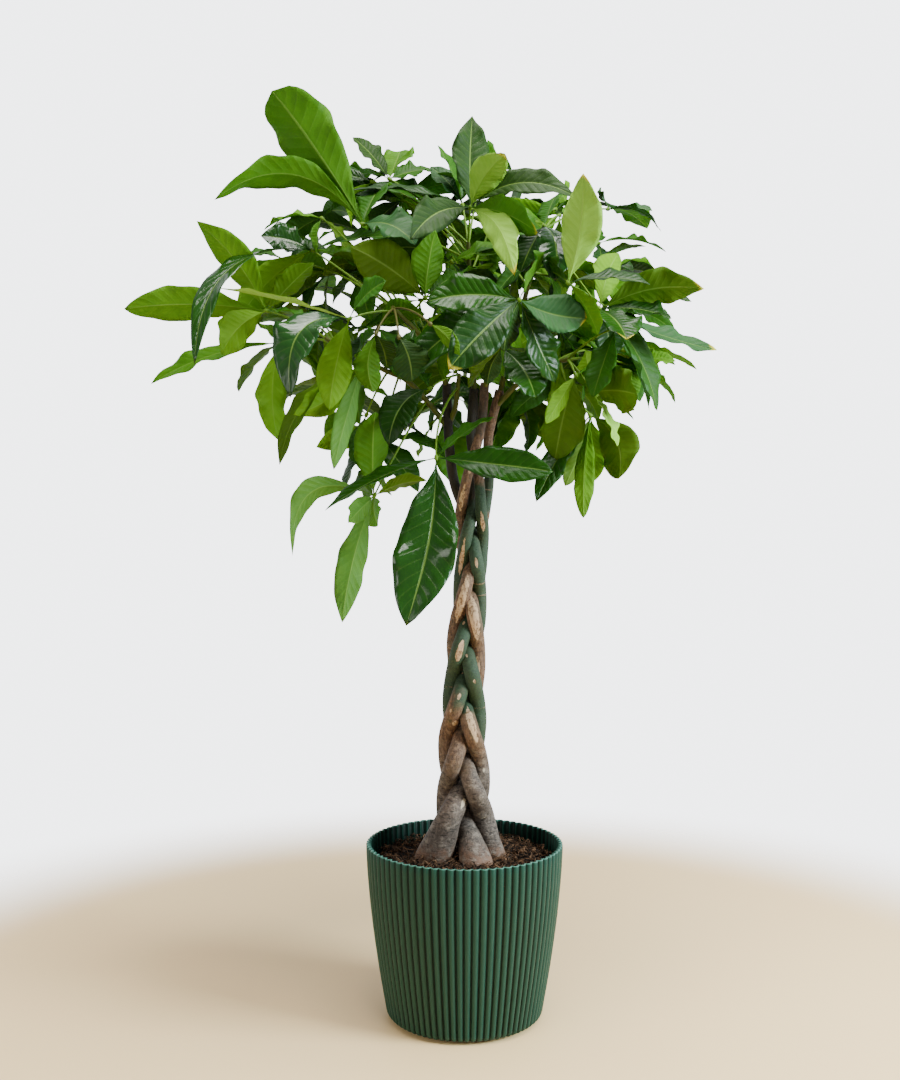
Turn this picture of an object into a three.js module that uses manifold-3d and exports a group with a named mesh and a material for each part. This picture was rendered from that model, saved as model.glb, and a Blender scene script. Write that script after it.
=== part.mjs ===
// Potted money tree: a fluted planter filled with soil, five plaited stems and their leafy shoots.
// Millimetres, +Z up. The origin is the middle of the planter's underside. The front is towards -Y.
import * as THREE from 'three';
import { mergeVertices } from 'three/addons/utils/BufferGeometryUtils.js';
import Module from 'manifold-3d';

const wasm = await Module();
wasm.setup();

// Planter
const POT_HEIGHT = 262;
const POT_RIM_RADIUS = 150;
const POT_TAPER = 33;
const POT_TAPER_POWER = 1.55;
const POT_WALL = 2.6;
const POT_FLOOR = 5;
const FOOT_RADIUS = 105;
const FOOT_EDGE = 3.5;
const FOOT_EDGE_INSET = 3;
const FOOT_TOP = 14;
const WAIST = 110;
const FLUTES = 77;
const FLUTE_DEPTH = 3;

// Soil
const SOIL_EDGE = 231;
const SOIL_TOP = 240;
const SOIL_MOUND_RADIUS = 92;
const SOIL_SIDES = 28;
const SEAT_GAP = 0.3;

// Feet of the stems: buried to STEM_FOOT, flared at the soil, slim again at the collar
const STEM_FOOT = 150;
const BURIED_SHARE = 0.9;
const COLLAR = SOIL_TOP + 24;
const COLLAR_SHARE = 0.45;
const COLLAR_RADIUS = 7;
const FOOT_LEAN = 0.45;

// Plait: every stem follows one closed loop, a fifth of a turn behind the one before it
const PLAIT_BOTTOM = 304;
const PLAIT_TOP = 770;
const PLAIT_STEP = 42.3;
const DEGREES_PER_STEP = 36;
const DEPTH_SHARE = 0.9;
const DEPTH_SECOND_SHARE = 0.5;
const STEM_SHARE = 0.445;
const OUTLINE_SHARE = 1.45;
const STEM_SIDES = 7;
const STEM_STATION = 30;

// Leaves
const LEAF_THICKNESS = 1.6;
const LEAF_FOLD = 0.16;
const STALK_HALF_WIDTH = 0.9;
const STALK_START = 1.8;
const HUB_RADIUS = 6.5;
const LEAF_WAVE = 0.16;
const PETIOLE_RADIUS = 2.3;
const PETIOLE_TAPER = 0.6;
const PETIOLE_RISE = 0.12;
const PETIOLE_STEPS = 3;
const PETIOLE_SIDES = 3;
const SHOOT_RADIUS = 4.6;
const SHOOT_TAPER = 0.35;
const SHOOT_SIDES = 5;
const SHOOT_REACH = 0.98;
const CROWN_SEED = 4211;

// The crown is drawn as it looks from this point, and every drawn point is then moved
// along its sight line to its real depth.
const EYE = [-22, -1800, 745];

const radians = (degrees) => degrees * Math.PI / 180;
const vec = (x, y, z) => new THREE.Vector3(x, y, z);

// A number at height z from a list of [height, number] pairs, straight from pair to pair.
function along(pairs, z) {
  if (z <= pairs[0][0]) return pairs[0][1];
  for (let i = 1; i < pairs.length; i += 1) {
    const [low, high] = [pairs[i - 1], pairs[i]];
    if (z <= high[0]) {
      const share = (z - low[0]) / (high[0] - low[0]);
      return low[1] + (high[1] - low[1]) * share;
    }
  }
  return pairs[pairs.length - 1][1];
}

// Seeded draw, so that every build gives the same plant.
function drawer(seed) {
  let state = seed;
  return () => {
    state = (state * 16807) % 2147483647;
    return state / 2147483647;
  };
}

// A closed body from rings of points. A ring of one point closes an end to a tip. The two
// halves of a ring are split into triangles alike, so a blade's two faces never cross.
function loft(rings) {
  const points = [];
  const faces = [];
  const starts = rings.map((ring) => {
    const start = points.length;
    points.push(...ring);
    return start;
  });
  for (let r = 1; r < rings.length; r += 1) {
    const [low, high] = [rings[r - 1].length, rings[r].length];
    const count = Math.max(low, high);
    for (let i = 0; i < count; i += 1) {
      const next = (i + 1) % count;
      const a = starts[r - 1] + (low === 1 ? 0 : i);
      const b = starts[r - 1] + (low === 1 ? 0 : next);
      const c = starts[r] + (high === 1 ? 0 : next);
      const d = starts[r] + (high === 1 ? 0 : i);
      if (low > 1 && high > 1 && i >= count / 2) {
        faces.push([a, b, d], [b, c, d]);
        continue;
      }
      if (low > 1) faces.push([a, b, c]);
      if (high > 1) faces.push([a, c, d]);
    }
  }
  const cap = (ring, start, flip) => {
    for (let i = 1; i < ring.length - 1; i += 1) {
      faces.push(flip ? [start, start + i + 1, start + i] : [start, start + i, start + i + 1]);
    }
  };
  cap(rings[0], starts[0], true);
  cap(rings[rings.length - 1], starts[rings.length - 1], false);
  const geometry = new THREE.BufferGeometry();
  const places = points.flatMap((point) => point.toArray());
  geometry.setAttribute('position', new THREE.Float32BufferAttribute(places, 3));
  geometry.setIndex(faces.flat());
  return geometry;
}

function solidOf(geometry) {
  const bare = geometry.clone();
  bare.deleteAttribute('normal');
  bare.deleteAttribute('uv');
  const merged = mergeVertices(bare, 1e-4);
  return new wasm.Manifold(new wasm.Mesh({
    numProp: 3,
    vertProperties: new Float32Array(merged.attributes.position.array),
    triVerts: new Uint32Array(merged.index.array),
  }));
}

function geometryOf(solid) {
  const mesh = solid.getMesh();
  const geometry = new THREE.BufferGeometry();
  geometry.setAttribute('position', new THREE.Float32BufferAttribute(mesh.vertProperties, 3));
  geometry.setIndex([...mesh.triVerts]);
  return geometry;
}

// Fusing can seal a hollow or leave a scrap: the hollow is filled and the scrap dropped.
function mainBody(solid) {
  const bodies = solid.decompose();
  return bodies.reduce((best, body) => (body.volume() > best.volume() ? body : best));
}

// A tube of changing radius along a line of points, turned no more than the line turns.
function sweptTube(points, radii, sides) {
  const across = vec(1, 0.01, 0);
  const rings = points.map((point, i) => {
    const before = points[Math.max(i - 1, 0)];
    const after = points[Math.min(i + 1, points.length - 1)];
    const run = after.clone().sub(before).normalize();
    if (i === 0 && Math.abs(run.x) > 0.9) across.set(0, 0, 1);
    across.addScaledVector(run, -run.dot(across)).normalize();
    const up = run.clone().cross(across);
    return Array.from({ length: sides }, (_, k) => {
      const turn = 2 * Math.PI * k / sides;
      return point.clone()
        .addScaledVector(across, radii[i] * Math.cos(turn))
        .addScaledVector(up, radii[i] * Math.sin(turn));
    });
  });
  return loft(rings);
}

// Planter: zigzag flutes run from foot to rim, inside and outside alike.
const potRadius = (z) => POT_RIM_RADIUS - FLUTE_DEPTH / 2
  - POT_TAPER * (1 - z / POT_HEIGHT) ** POT_TAPER_POWER;

function flutedRing(radius, z, depth) {
  return Array.from({ length: 2 * FLUTES }, (_, i) => {
    const turn = Math.PI * i / FLUTES;
    const reach = radius + (i % 2 ? -depth / 2 : depth / 2);
    return vec(reach * Math.cos(turn), reach * Math.sin(turn), z);
  });
}

// The inside is one straight taper, so the wall is thickest at half height.
const insideFootRadius = potRadius(FOOT_TOP) - POT_WALL - 2;
const insideRimRadius = potRadius(POT_HEIGHT) - POT_WALL;
const insideRadius = (z) => insideFootRadius
  + (insideRimRadius - insideFootRadius) * (z - POT_FLOOR) / (POT_HEIGHT - POT_FLOOR);

function potGeometry() {
  return loft([
    [vec(0, 0, 0)],
    flutedRing(FOOT_RADIUS, 0, 0),
    flutedRing(potRadius(FOOT_EDGE) - FOOT_EDGE_INSET, FOOT_EDGE, FLUTE_DEPTH / 2),
    flutedRing(potRadius(FOOT_TOP), FOOT_TOP, FLUTE_DEPTH),
    flutedRing(potRadius(WAIST), WAIST, FLUTE_DEPTH),
    flutedRing(potRadius(POT_HEIGHT), POT_HEIGHT, FLUTE_DEPTH),
    flutedRing(insideRimRadius, POT_HEIGHT, FLUTE_DEPTH),
    flutedRing(insideFootRadius, POT_FLOOR, FLUTE_DEPTH),
    [vec(0, 0, POT_FLOOR)],
  ]);
}

// Half the width of the plait's outline at a height.
const PLAIT_HALF_WIDTH = [
  [PLAIT_BOTTOM, 44], [341, 41.7], [425, 37.3], [510, 31.6], [570, 30.3],
  [632, 26.7], [700, 24.8], [739, 27], [PLAIT_TOP, 28],
];
const PLAIT_MIDDLE = [
  [PLAIT_BOTTOM, 0], [425, -2.5], [570, 2.8], [632, 7.8], [739, 12.8], [PLAIT_TOP, 13],
];

// Each stem: where it leaves the soil, its radii there, its place in the plait, and its
// way from the top of the plait to its cut stub.
const STEMS = [
  {
    name: 'stem_1', foot: [-44, -12], footRadius: 24, phase: 324,
    top: [[14, 14, 815], [15, 26, 860], [15, 30, 950]],
  },
  {
    name: 'stem_2', foot: [14, -36], footRadius: 15, phase: 180,
    top: [[-16, 22, 815], [-25, 10, 900], [-27, 8, 964]],
  },
  {
    name: 'stem_3', foot: [52, 2], footRadius: 15, phase: 108,
    top: [[22, -12, 815], [10, 5, 880], [15, 6, 955]],
  },
  {
    name: 'stem_4', foot: [-34, 36], footRadius: 15, phase: 252,
    top: [[3, -25, 815], [24, -24, 890], [31, -18, 961]],
  },
  {
    name: 'stem_5', foot: [28, 36], footRadius: 15, phase: 36,
    top: [[38, 14, 815], [37, 8, 880], [54, 2, 953]],
  },
];
const FREE_RADIUS = [[PLAIT_TOP, 8.6], [850, 7.3], [960, 6.8]];

const plaitSwing = (z) => along(PLAIT_HALF_WIDTH, z) / OUTLINE_SHARE;

function plaitPoint(phase, z) {
  const angle = radians(phase + DEGREES_PER_STEP * (z - PLAIT_BOTTOM) / PLAIT_STEP);
  const swing = plaitSwing(z);
  const depth = swing * DEPTH_SHARE * (Math.sin(2 * angle) + DEPTH_SECOND_SHARE * Math.sin(4 * angle));
  return vec(along(PLAIT_MIDDLE, z) + swing * Math.sin(angle), depth, z);
}

function stemLine(stem) {
  const start = plaitPoint(stem.phase, PLAIT_BOTTOM);
  const foot = vec(stem.foot[0], stem.foot[1], SOIL_EDGE);
  const collar = foot.clone().lerp(start, FOOT_LEAN).setZ(COLLAR);
  const points = [foot.clone().setZ(STEM_FOOT), foot, collar];
  const radii = [
    stem.footRadius * BURIED_SHARE, stem.footRadius, stem.footRadius * COLLAR_SHARE + COLLAR_RADIUS,
  ];
  const steps = Math.round((PLAIT_TOP - PLAIT_BOTTOM) / STEM_STATION);
  for (let i = 0; i <= steps; i += 1) {
    const z = PLAIT_BOTTOM + (PLAIT_TOP - PLAIT_BOTTOM) * i / steps;
    points.push(plaitPoint(stem.phase, z));
    radii.push(plaitSwing(z) * STEM_SHARE);
  }
  for (const [x, y, z] of stem.top) {
    points.push(vec(x, y, z));
    radii.push(along(FREE_RADIUS, z));
  }
  return { points, radii };
}

const stemTube = (stem, extra) => {
  const { points, radii } = stemLine(stem);
  return sweptTube(points, radii.map((radius) => radius + extra), STEM_SIDES);
};

// Soil: a plug that fills the planter, mounded in the middle, with a plain hole for each stem.
function soilGeometry() {
  const ring = (radius, z) => Array.from({ length: SOIL_SIDES }, (_, i) => {
    const turn = 2 * Math.PI * i / SOIL_SIDES;
    return vec(radius * Math.cos(turn), radius * Math.sin(turn), z);
  });
  const inset = FLUTE_DEPTH / 2 + SEAT_GAP;
  const bottom = POT_FLOOR + SEAT_GAP;
  const plug = solidOf(loft([
    [vec(0, 0, bottom)],
    ring(insideRadius(bottom) - inset, bottom),
    ring(insideRadius(SOIL_EDGE) - inset, SOIL_EDGE),
    ring(SOIL_MOUND_RADIUS, SOIL_TOP),
    [vec(0, 0, SOIL_TOP)],
  ]));
  const holes = STEMS.map((stem) => solidOf(stemTube(stem, SEAT_GAP)));
  return geometryOf(mainBody(holes.reduce((body, hole) => body.subtract(hole), plug)));
}

// Leaflet: a thin arched blade, folded at the rib, widest past its middle, on a short stalk.
const BLADE_FINE = [[0.18, 0.26], [0.42, 0.84], [0.66, 1], [0.87, 0.6]];
const BLADE_PLAIN = [[0.2, 0.32], [0.56, 1], [0.85, 0.64]];
const BLADE_SPREAD = [[0.34, 0.66], [0.72, 0.98]];
const WIDE_BLADE = 54;

function leafletGeometry(hub, tip, width, face, arch, outline, waves) {
  const run = tip.clone().sub(hub);
  const length = run.length();
  run.normalize();
  const toViewer = vec(0, -1, 0).addScaledVector(run, run.y).normalize();
  const lift = run.clone().cross(toViewer).normalize();
  const outward = vec(hub.x, hub.y, 0).normalize().multiplyScalar(0.4).add(vec(0, 0, 1));
  if (lift.dot(outward) < 0) lift.negate();
  const normal = toViewer.clone().multiplyScalar(Math.cos(radians(face)))
    .addScaledVector(lift, Math.sin(radians(face)));
  const side = run.clone().cross(normal).normalize();
  const bulge = outward.clone().addScaledVector(run, -outward.dot(run)).normalize();
  const middle = (share) => hub.clone().addScaledVector(run, length * share)
    .addScaledVector(bulge, arch * 4 * share * (1 - share));
  const half = width / 2;
  const ring = (share, reach, edgeLift) => {
    const centre = middle(share);
    const corner = (across, rise) => centre.clone()
      .addScaledVector(side, across).addScaledVector(normal, rise);
    return [
      corner(-reach, edgeLift[0]), corner(0, LEAF_THICKNESS / 2),
      corner(reach, edgeLift[1]), corner(0, -LEAF_THICKNESS / 2),
    ];
  };
  const rings = [ring(STALK_START / length, STALK_HALF_WIDTH, [0, 0])];
  outline.forEach(([share, wide], i) => {
    const fold = half * wide * LEAF_FOLD;
    rings.push(ring(share, half * wide, [fold + waves[2 * i] * half, fold + waves[2 * i + 1] * half]));
  });
  rings.push([middle(1)]);
  return loft(rings);
}

// A drawn point [across, up, back] at its real place.
function spot([across, up, back]) {
  const scale = (back - EYE[1]) / -EYE[1];
  return vec(EYE[0] + (across - EYE[0]) * scale, back, EYE[2] + (up - EYE[2]) * scale);
}

// Leafy shoots. line and hub points are drawn points [across, up, back]. A hub is where the
// leaflets of one leaf meet, at is how far along the shoot its petiole starts, and via bends
// that petiole. A leaflet is [across, up, back, width, face, arch]: its drawn tip, its width,
// the angle between its upper face and the front, and how high it arches.
// A leaf with spread instead has that many leaflets, set round its hub by a rule.
const SHOOTS = [
  {
    name: 'shoot_1',
    line: [[-27, 958, 8], [-40, 1000, -20], [-75, 1045, -80], [-110, 1080, -130]],
    leaves: [
      { hub: [-135, 1040, -190], at: 1, blades: [
        [-165, 1002, -120, 40, 60, 5], [-139, 949, -175, 36, 150, 6], [-118, 985, -120, 45, 140, 5]] },
      { hub: [-100, 1034, -205], at: 1, blades: [
        [-80, 966, -210, 50, 160, 6], [-52, 996, -150, 45, 60, 6], [-75, 1005, -110, 45, 100, 5]] },
      { hub: [-52, 1054, -225], at: 1, blades: [
        [-6, 1005, -255, 20, 160, 4], [-30, 1088, -160, 30, 100, 4]] },
      { hub: [-60, 1094, -120], at: 0.8, blades: [
        [-44, 1198, -150, 48, 160, 8], [-174, 1172, -90, 64, 155, 8], [24, 1140, -90, 50, 55, 6],
        [-80, 1160, 20, 50, 90, 10]] },
      { hub: [-176, 1062, -150], at: 0.95, blades: [
        [-266, 941, -230, 60, 15, 45], [-378, 1109, -175, 45, 84, 4], [-207, 921, -150, 46, 160, 8],
        [-120, 1120, -200, 45, 60, 8]] },
      { hub: [-233, 1167, -20], at: 0.9, via: [-175, 1130, -60], blades: [
        [-312, 1189, -50, 45, 60, 6], [-413, 992, -60, 42, 80, 52], [-350, 1053, 0, 50, 150, 14],
        [-90, 1186, -50, 45, 60, 8], [-144, 1145, 30, 45, 50, 5]] },
      { hub: [-100, 1110, 60], at: 0.4, spread: 5, reach: 150 },
      { hub: [-150, 1190, 150], at: 0.6, spread: 6, reach: 175 },
      { hub: [-230, 1110, 190], at: 0.5, spread: 5, reach: 165 },
    ],
  },
  {
    name: 'shoot_2',
    line: [[-22, 890, 14], [-52, 930, 0], [-90, 969, -20], [-119, 982, -32], [-147, 996, -40],
      [-191, 1018, -48], [-213, 1033, -50]],
    leaves: [
      { hub: [-303, 1074, -80], at: 1, blades: [
        [-511, 1071, -60, 52, 140, 14], [-410, 1212, -110, 50, 155, 6], [-230, 1148, -100, 45, 130, 5],
        [-243, 1063, -130, 35, 60, 4], [-372, 1008, -130, 50, 150, 8], [-350, 1040, 60, 48, 100, 10]] },
      { hub: [-282, 1025, 0], at: 0.95, blades: [
        [-480, 962, -10, 42, 70, 20], [-320, 1058, 60, 40, 60, 5], [-286, 877, -20, 45, 155, 8],
        [-345, 950, 90, 45, 100, 12], [-205, 960, 70, 45, 100, 10]] },
      { hub: [-154, 995, -90], at: 0.65, blades: [
        [-262, 915, -130, 48, 145, -6], [-283, 838, -110, 38, 120, 45], [-200, 831, -110, 36, 75, 8],
        [-160, 900, 0, 42, 120, 8]] },
      { hub: [-138, 791, -60], at: 0.2, via: [-100, 870, -40], blades: [
        [-136, 920, -110, 52, 150, 10], [-263, 699, -110, 40, 140, 60], [-178, 750, -130, 38, 150, 4],
        [-187, 597, -90, 42, 150, 10], [-132, 745, -10, 38, 130, 4], [-57, 814, -30, 34, 130, 6],
        [-167, 815, 20, 42, 150, 5]] },
      { hub: [-260, 1060, 150], at: 0.9, spread: 5, reach: 170 },
      { hub: [-190, 950, 170], at: 0.6, spread: 5, reach: 165 },
    ],
  },
  {
    name: 'shoot_3',
    line: [[15, 950, 6], [10, 1040, 0], [8, 1120, -15], [6, 1180, -30]],
    leaves: [
      { hub: [9, 1232, -60], at: 1, blades: [
        [12, 1373, -40, 58, 20, 6], [60, 1313, -150, 50, 150, 5], [170, 1249, -70, 48, 50, 15],
        [77, 1128, -180, 52, 160, 15], [112, 1194, -170, 50, 130, 8], [-83, 1183, -140, 50, 30, 12]] },
      { hub: [-3, 1237, 20], at: 0.95, blades: [
        [-41, 1328, 20, 45, 78, 8], [-174, 1258, -30, 45, 60, 14], [-52, 1295, 60, 42, 40, 5],
        [-66, 1244, 90, 36, 80, 4], [139, 1175, 40, 46, 40, 10]] },
      { hub: [-156, 1207, -70], at: 0.85, blades: [
        [-295, 1411, -110, 78, 165, 15], [-383, 1244, -120, 60, 140, 50], [-122, 1267, 10, 50, 40, 10],
        [-75, 1175, -120, 62, 30, 12]] },
      { hub: [-115, 1276, 40], at: 0.95, blades: [
        [-171, 1340, 30, 42, 75, 5], [-98, 1319, 150, 55, 30, 5], [-47, 1290, 60, 45, 40, 5],
        [-190, 1270, 150, 48, 90, 14]] },
      { hub: [-81, 1232, 130], at: 0.8, spread: 5, reach: 150 },
      { hub: [30, 1290, 130], at: 1, spread: 6, reach: 165 },
      { hub: [-25, 1165, 70], at: 0.6, spread: 5, reach: 150 },
      { hub: [60, 1220, 220], at: 0.7, spread: 5, reach: 170 },
    ],
  },
  {
    name: 'shoot_4',
    line: [[54, 948, 2], [78, 1040, -20], [102, 1130, -40], [116, 1198, -58]],
    leaves: [
      { hub: [122, 1204, -80], at: 1, blades: [
        [139, 1120, -140, 55, 20, 20], [86, 1134, -110, 50, 30, 8], [139, 1250, -10, 40, 60, 4]] },
      { hub: [159, 1117, -190], at: 0.8, blades: [
        [182, 1285, -240, 58, 165, 5], [155, 1236, -120, 40, 60, 4], [205, 1037, -200, 40, 110, 6],
        [285, 1114, -220, 46, 60, 8], [124, 1137, -120, 50, 100, 5]] },
      { hub: [207, 1077, -100], at: 1, via: [165, 1140, -85], blades: [
        [367, 1108, -130, 54, 150, 8], [317, 1062, -140, 50, 45, 5], [387, 1014, -80, 38, 60, -8],
        [254, 1008, -170, 62, 20, 5], [226, 1005, -120, 50, 30, 4], [295, 921, -60, 50, 40, 10],
        [236, 1163, -40, 45, 150, 4]] },
      { hub: [220, 1230, 60], at: 1, blades: [
        [288, 1227, 30, 42, 72, 5], [301, 1195, -10, 38, 80, 15], [200, 1275, 130, 45, 90, 5],
        [280, 1200, 150, 45, 90, 10]] },
      { hub: [205, 1178, 0], at: 0.95, blades: [
        [309, 1164, -10, 46, 70, 12], [208, 1125, -10, 45, 40, 3], [190, 1215, 60, 42, 60, 3]] },
      { hub: [70, 1110, 80], at: 0.3, spread: 5, reach: 150 },
      { hub: [150, 1060, 60], at: 0.5, spread: 5, reach: 150 },
      { hub: [215, 1130, 190], at: 0.8, spread: 6, reach: 170 },
      { hub: [140, 1230, 190], at: 0.9, spread: 5, reach: 160 },
    ],
  },
  {
    name: 'shoot_5',
    line: [[31, 956, -18], [44, 1000, -60], [62, 1040, -110], [75, 1065, -150]],
    leaves: [
      { hub: [84, 1091, -200], at: 1, blades: [
        [-58, 1088, -210, 55, 25, 12], [188, 1063, -190, 56, 25, -5], [-24, 984, -250, 64, 20, 12],
        [-101, 1004, -170, 56, 35, 12], [60, 1012, -190, 42, 150, 5], [124, 1150, -120, 50, 100, 5],
        [139, 964, -150, 52, 30, 5]] },
      { hub: [58, 1018, -130], at: 0.6, blades: [
        [109, 941, -170, 62, 15, 5], [6, 956, -120, 42, 100, 5], [35, 961, -100, 30, 170, 4],
        [124, 992, -60, 46, 90, 6]] },
    ],
  },
  {
    name: 'shoot_6',
    line: [[48, 928, 4], [85, 965, -20], [125, 990, -50], [160, 1000, -75]],
    leaves: [
      { hub: [170, 976, -110], at: 1, blades: [
        [138, 845, -110, 64, 150, 8], [124, 901, -160, 26, 150, 4], [230, 985, -40, 44, 100, 8]] },
      { hub: [193, 914, -60], at: 0.9, via: [150, 960, -90], blades: [
        [154, 806, -90, 38, 150, 5], [110, 782, -140, 38, 40, 10], [182, 757, -160, 28, 150, 5],
        [196, 812, -40, 36, 140, 4], [236, 817, -90, 58, 150, 20]] },
      { hub: [196, 949, -120], at: 1, blades: [
        [265, 946, -180, 64, 150, 4], [185, 1014, -60, 42, 160, 4], [226, 985, -60, 42, 160, 4],
        [234, 866, -150, 30, 60, 5]] },
      { hub: [231, 1048, -150], at: 1, blades: [
        [196, 941, -170, 40, 40, 4], [283, 921, -150, 36, 80, 6]] },
      { hub: [78, 975, 70], at: 0.3, blades: [
        [44, 863, 80, 60, 20, 8], [120, 880, 110, 50, 60, 10], [30, 900, 160, 50, 90, 10]] },
      { hub: [230, 1000, 120], at: 0.8, spread: 5, reach: 170 },
      { hub: [150, 950, 200], at: 0.5, spread: 5, reach: 165 },
    ],
  },
  {
    name: 'shoot_7',
    line: [[15, 946, 30], [12, 1020, 80], [5, 1090, 130], [0, 1140, 160]],
    leaves: [
      { hub: [-80, 1130, 280], at: 0.9, spread: 6, reach: 180 },
      { hub: [75, 1150, 290], at: 1, spread: 6, reach: 175 },
      { hub: [0, 1040, 320], at: 0.7, spread: 5, reach: 180 },
      { hub: [-120, 1010, 250], at: 0.5, spread: 5, reach: 165 },
      { hub: [110, 1000, 260], at: 0.6, spread: 5, reach: 165 },
      { hub: [-10, 940, 200], at: 0.25, spread: 5, reach: 160 },
    ],
  },
  {
    name: 'shoot_8',
    line: [[-22, 905, 12], [-14, 926, -4], [-11, 952, -16], [-8, 978, -26]],
    leaves: [
      { hub: [-43, 849, -110], at: 0.75, via: [-47, 915, -80], blades: [
        [-89, 592, -190, 80, 10, 10], [136, 828, -140, 50, 30, 10], [-214, 768, -150, 45, 65, 12],
        [47, 912, -90, 40, 65, 6], [-28, 707, -70, 32, 75, 5]] },
      { hub: [-54, 955, -60], at: 1, blades: [
        [-116, 868, -110, 50, 20, 25], [-90, 1000, -20, 40, 70, 5]] },
      { hub: [-29, 923, 80], at: 0.2, blades: [
        [-9, 805, 90, 60, 20, 5], [-70, 850, 110, 48, 80, 10]] },
    ],
  },
];

// How a leaflet may swing, back and up, as shares of its length, and how much shorter it may be.
const SWINGS = [
  [0, 0], [-0.08, 0], [0.08, 0], [0, -0.08], [0, 0.08], [-0.16, 0], [0.16, 0], [-0.12, -0.12],
  [0.12, -0.12], [-0.12, 0.12], [0.12, 0.12], [-0.26, 0], [0.26, 0], [-0.2, -0.2], [0.2, -0.2],
  [-0.4, 0], [0.4, 0], [-0.3, 0.25], [0.3, 0.25], [-0.55, -0.1], [0.55, -0.1],
];
const LENGTHS = [1, 0.8, 0.6];

const drawnBlade = ([across, up, back, width, face, arch]) => (
  { tip: spot([across, up, back]), width, face, arch });

// Leaflets that spread round a hub: they fan out across the petiole and droop.
function spreadBlades(leaf, hub, from, draw) {
  const run = hub.clone().sub(from).normalize();
  const across = run.clone().cross(vec(0, 0, 1)).normalize();
  const up = across.clone().cross(run);
  return Array.from({ length: leaf.spread }, (_, i) => {
    const turn = radians(-140 + 280 * (i + 0.5) / leaf.spread + 16 * (draw() - 0.5));
    const reach = leaf.reach * (0.78 + 0.22 * Math.cos(turn) + 0.12 * (draw() - 0.5));
    const tip = hub.clone()
      .addScaledVector(run, reach * (0.75 * Math.cos(turn) + 0.2))
      .addScaledVector(across, reach * 0.85 * Math.sin(turn))
      .addScaledVector(up, reach * 0.12)
      .add(vec(0, 0, -reach * (0.15 + 0.25 * draw())));
    return { tip, width: reach * 0.3, face: 75 + 40 * draw(), arch: reach * 0.12 };
  });
}

const boxesMeet = (a, b) => [0, 1, 2].every((i) => a.min[i] < b.max[i] && b.min[i] < a.max[i]);
const CROSSING_LIMIT = 0.001;

function crosses(solid, box, owner, placed) {
  return placed.some((other) => other.owner !== owner && boxesMeet(box, other.box)
    && solid.intersect(other.solid).volume() > CROSSING_LIMIT);
}

const entry = (owner, solid) => ({ owner, solid, box: solid.boundingBox() });

// A leaflet that would pass through another shoot or a stem swings back or forward until it
// is clear, and is made shorter if no swing clears it.
function clearLeaflet(hub, blade, outline, waves, owner, placed) {
  const reach = blade.tip.clone().sub(hub);
  for (const share of LENGTHS) {
    for (const [back, rise] of SWINGS) {
      const tip = reach.clone().add(vec(0, back, rise).multiplyScalar(reach.length()))
        .setLength(reach.length() * share).add(hub);
      const solid = solidOf(leafletGeometry(hub, tip, blade.width * share, blade.face,
        blade.arch * share, outline, waves));
      if (!crosses(solid, solid.boundingBox(), owner, placed)) return solid;
    }
  }
  return null;
}

function shootFrame(shoot) {
  const line = new THREE.CatmullRomCurve3(shoot.line.map(spot));
  const points = line.getPoints(2 * (shoot.line.length - 1));
  const radii = points.map((_, i) => SHOOT_RADIUS * (1 - SHOOT_TAPER * i / (points.length - 1)));
  const solids = [solidOf(sweptTube(points, radii, SHOOT_SIDES))];
  const leaves = shoot.leaves.map((leaf) => {
    const hub = spot(leaf.hub);
    const from = line.getPoint(leaf.at * SHOOT_REACH);
    const rise = vec(0, 0, PETIOLE_RISE * from.distanceTo(hub));
    const via = leaf.via ? spot(leaf.via) : from.clone().lerp(hub, 0.5).add(rise);
    const petiole = new THREE.QuadraticBezierCurve3(from, via, hub).getPoints(PETIOLE_STEPS);
    const slim = petiole.map((_, i) => PETIOLE_RADIUS - PETIOLE_TAPER * i / PETIOLE_STEPS);
    solids.push(solidOf(sweptTube(petiole, slim, PETIOLE_SIDES)));
    solids.push(solidOf(new THREE.OctahedronGeometry(HUB_RADIUS, 0).translate(hub.x, hub.y, hub.z)));
    return { leaf, hub, from };
  });
  return { name: shoot.name, solids, leaves };
}

// All shoots and petioles stand first, then the leaflets are set one by one.
function growCrown(stems) {
  const shoots = SHOOTS.map(shootFrame);
  const placed = [...stems];
  shoots.forEach(({ name, solids }) => placed.push(...solids.map((solid) => entry(name, solid))));
  const draw = drawer(CROWN_SEED);
  for (const { name, solids, leaves } of shoots) {
    for (const { leaf, hub, from } of leaves) {
      const blades = leaf.spread ? spreadBlades(leaf, hub, from, draw) : leaf.blades.map(drawnBlade);
      for (const blade of blades) {
        const drawn = blade.width < WIDE_BLADE ? BLADE_PLAIN : BLADE_FINE;
        const outline = leaf.spread ? BLADE_SPREAD : drawn;
        const waves = Array.from({ length: 2 * outline.length }, () => LEAF_WAVE * (draw() - 0.5));
        const solid = clearLeaflet(hub, blade, outline, waves, name, placed);
        if (solid) {
          solids.push(solid);
          placed.push(entry(name, solid));
        }
      }
    }
  }
  return shoots;
}

function finish(color, roughness) {
  return new THREE.MeshStandardMaterial({ color, roughness, metalness: 0 });
}

const plant = new THREE.Group();

function place(name, geometry, material) {
  const mesh = new THREE.Mesh(geometry, material);
  mesh.name = name;
  plant.add(mesh);
}

place('pot', potGeometry(), finish('#3f6650', 0.5));
place('soil', soilGeometry(), finish('#2e231b', 0.95));
STEMS.forEach((stem) => place(stem.name, stemTube(stem, 0), finish('#7d7462', 0.8)));

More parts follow.
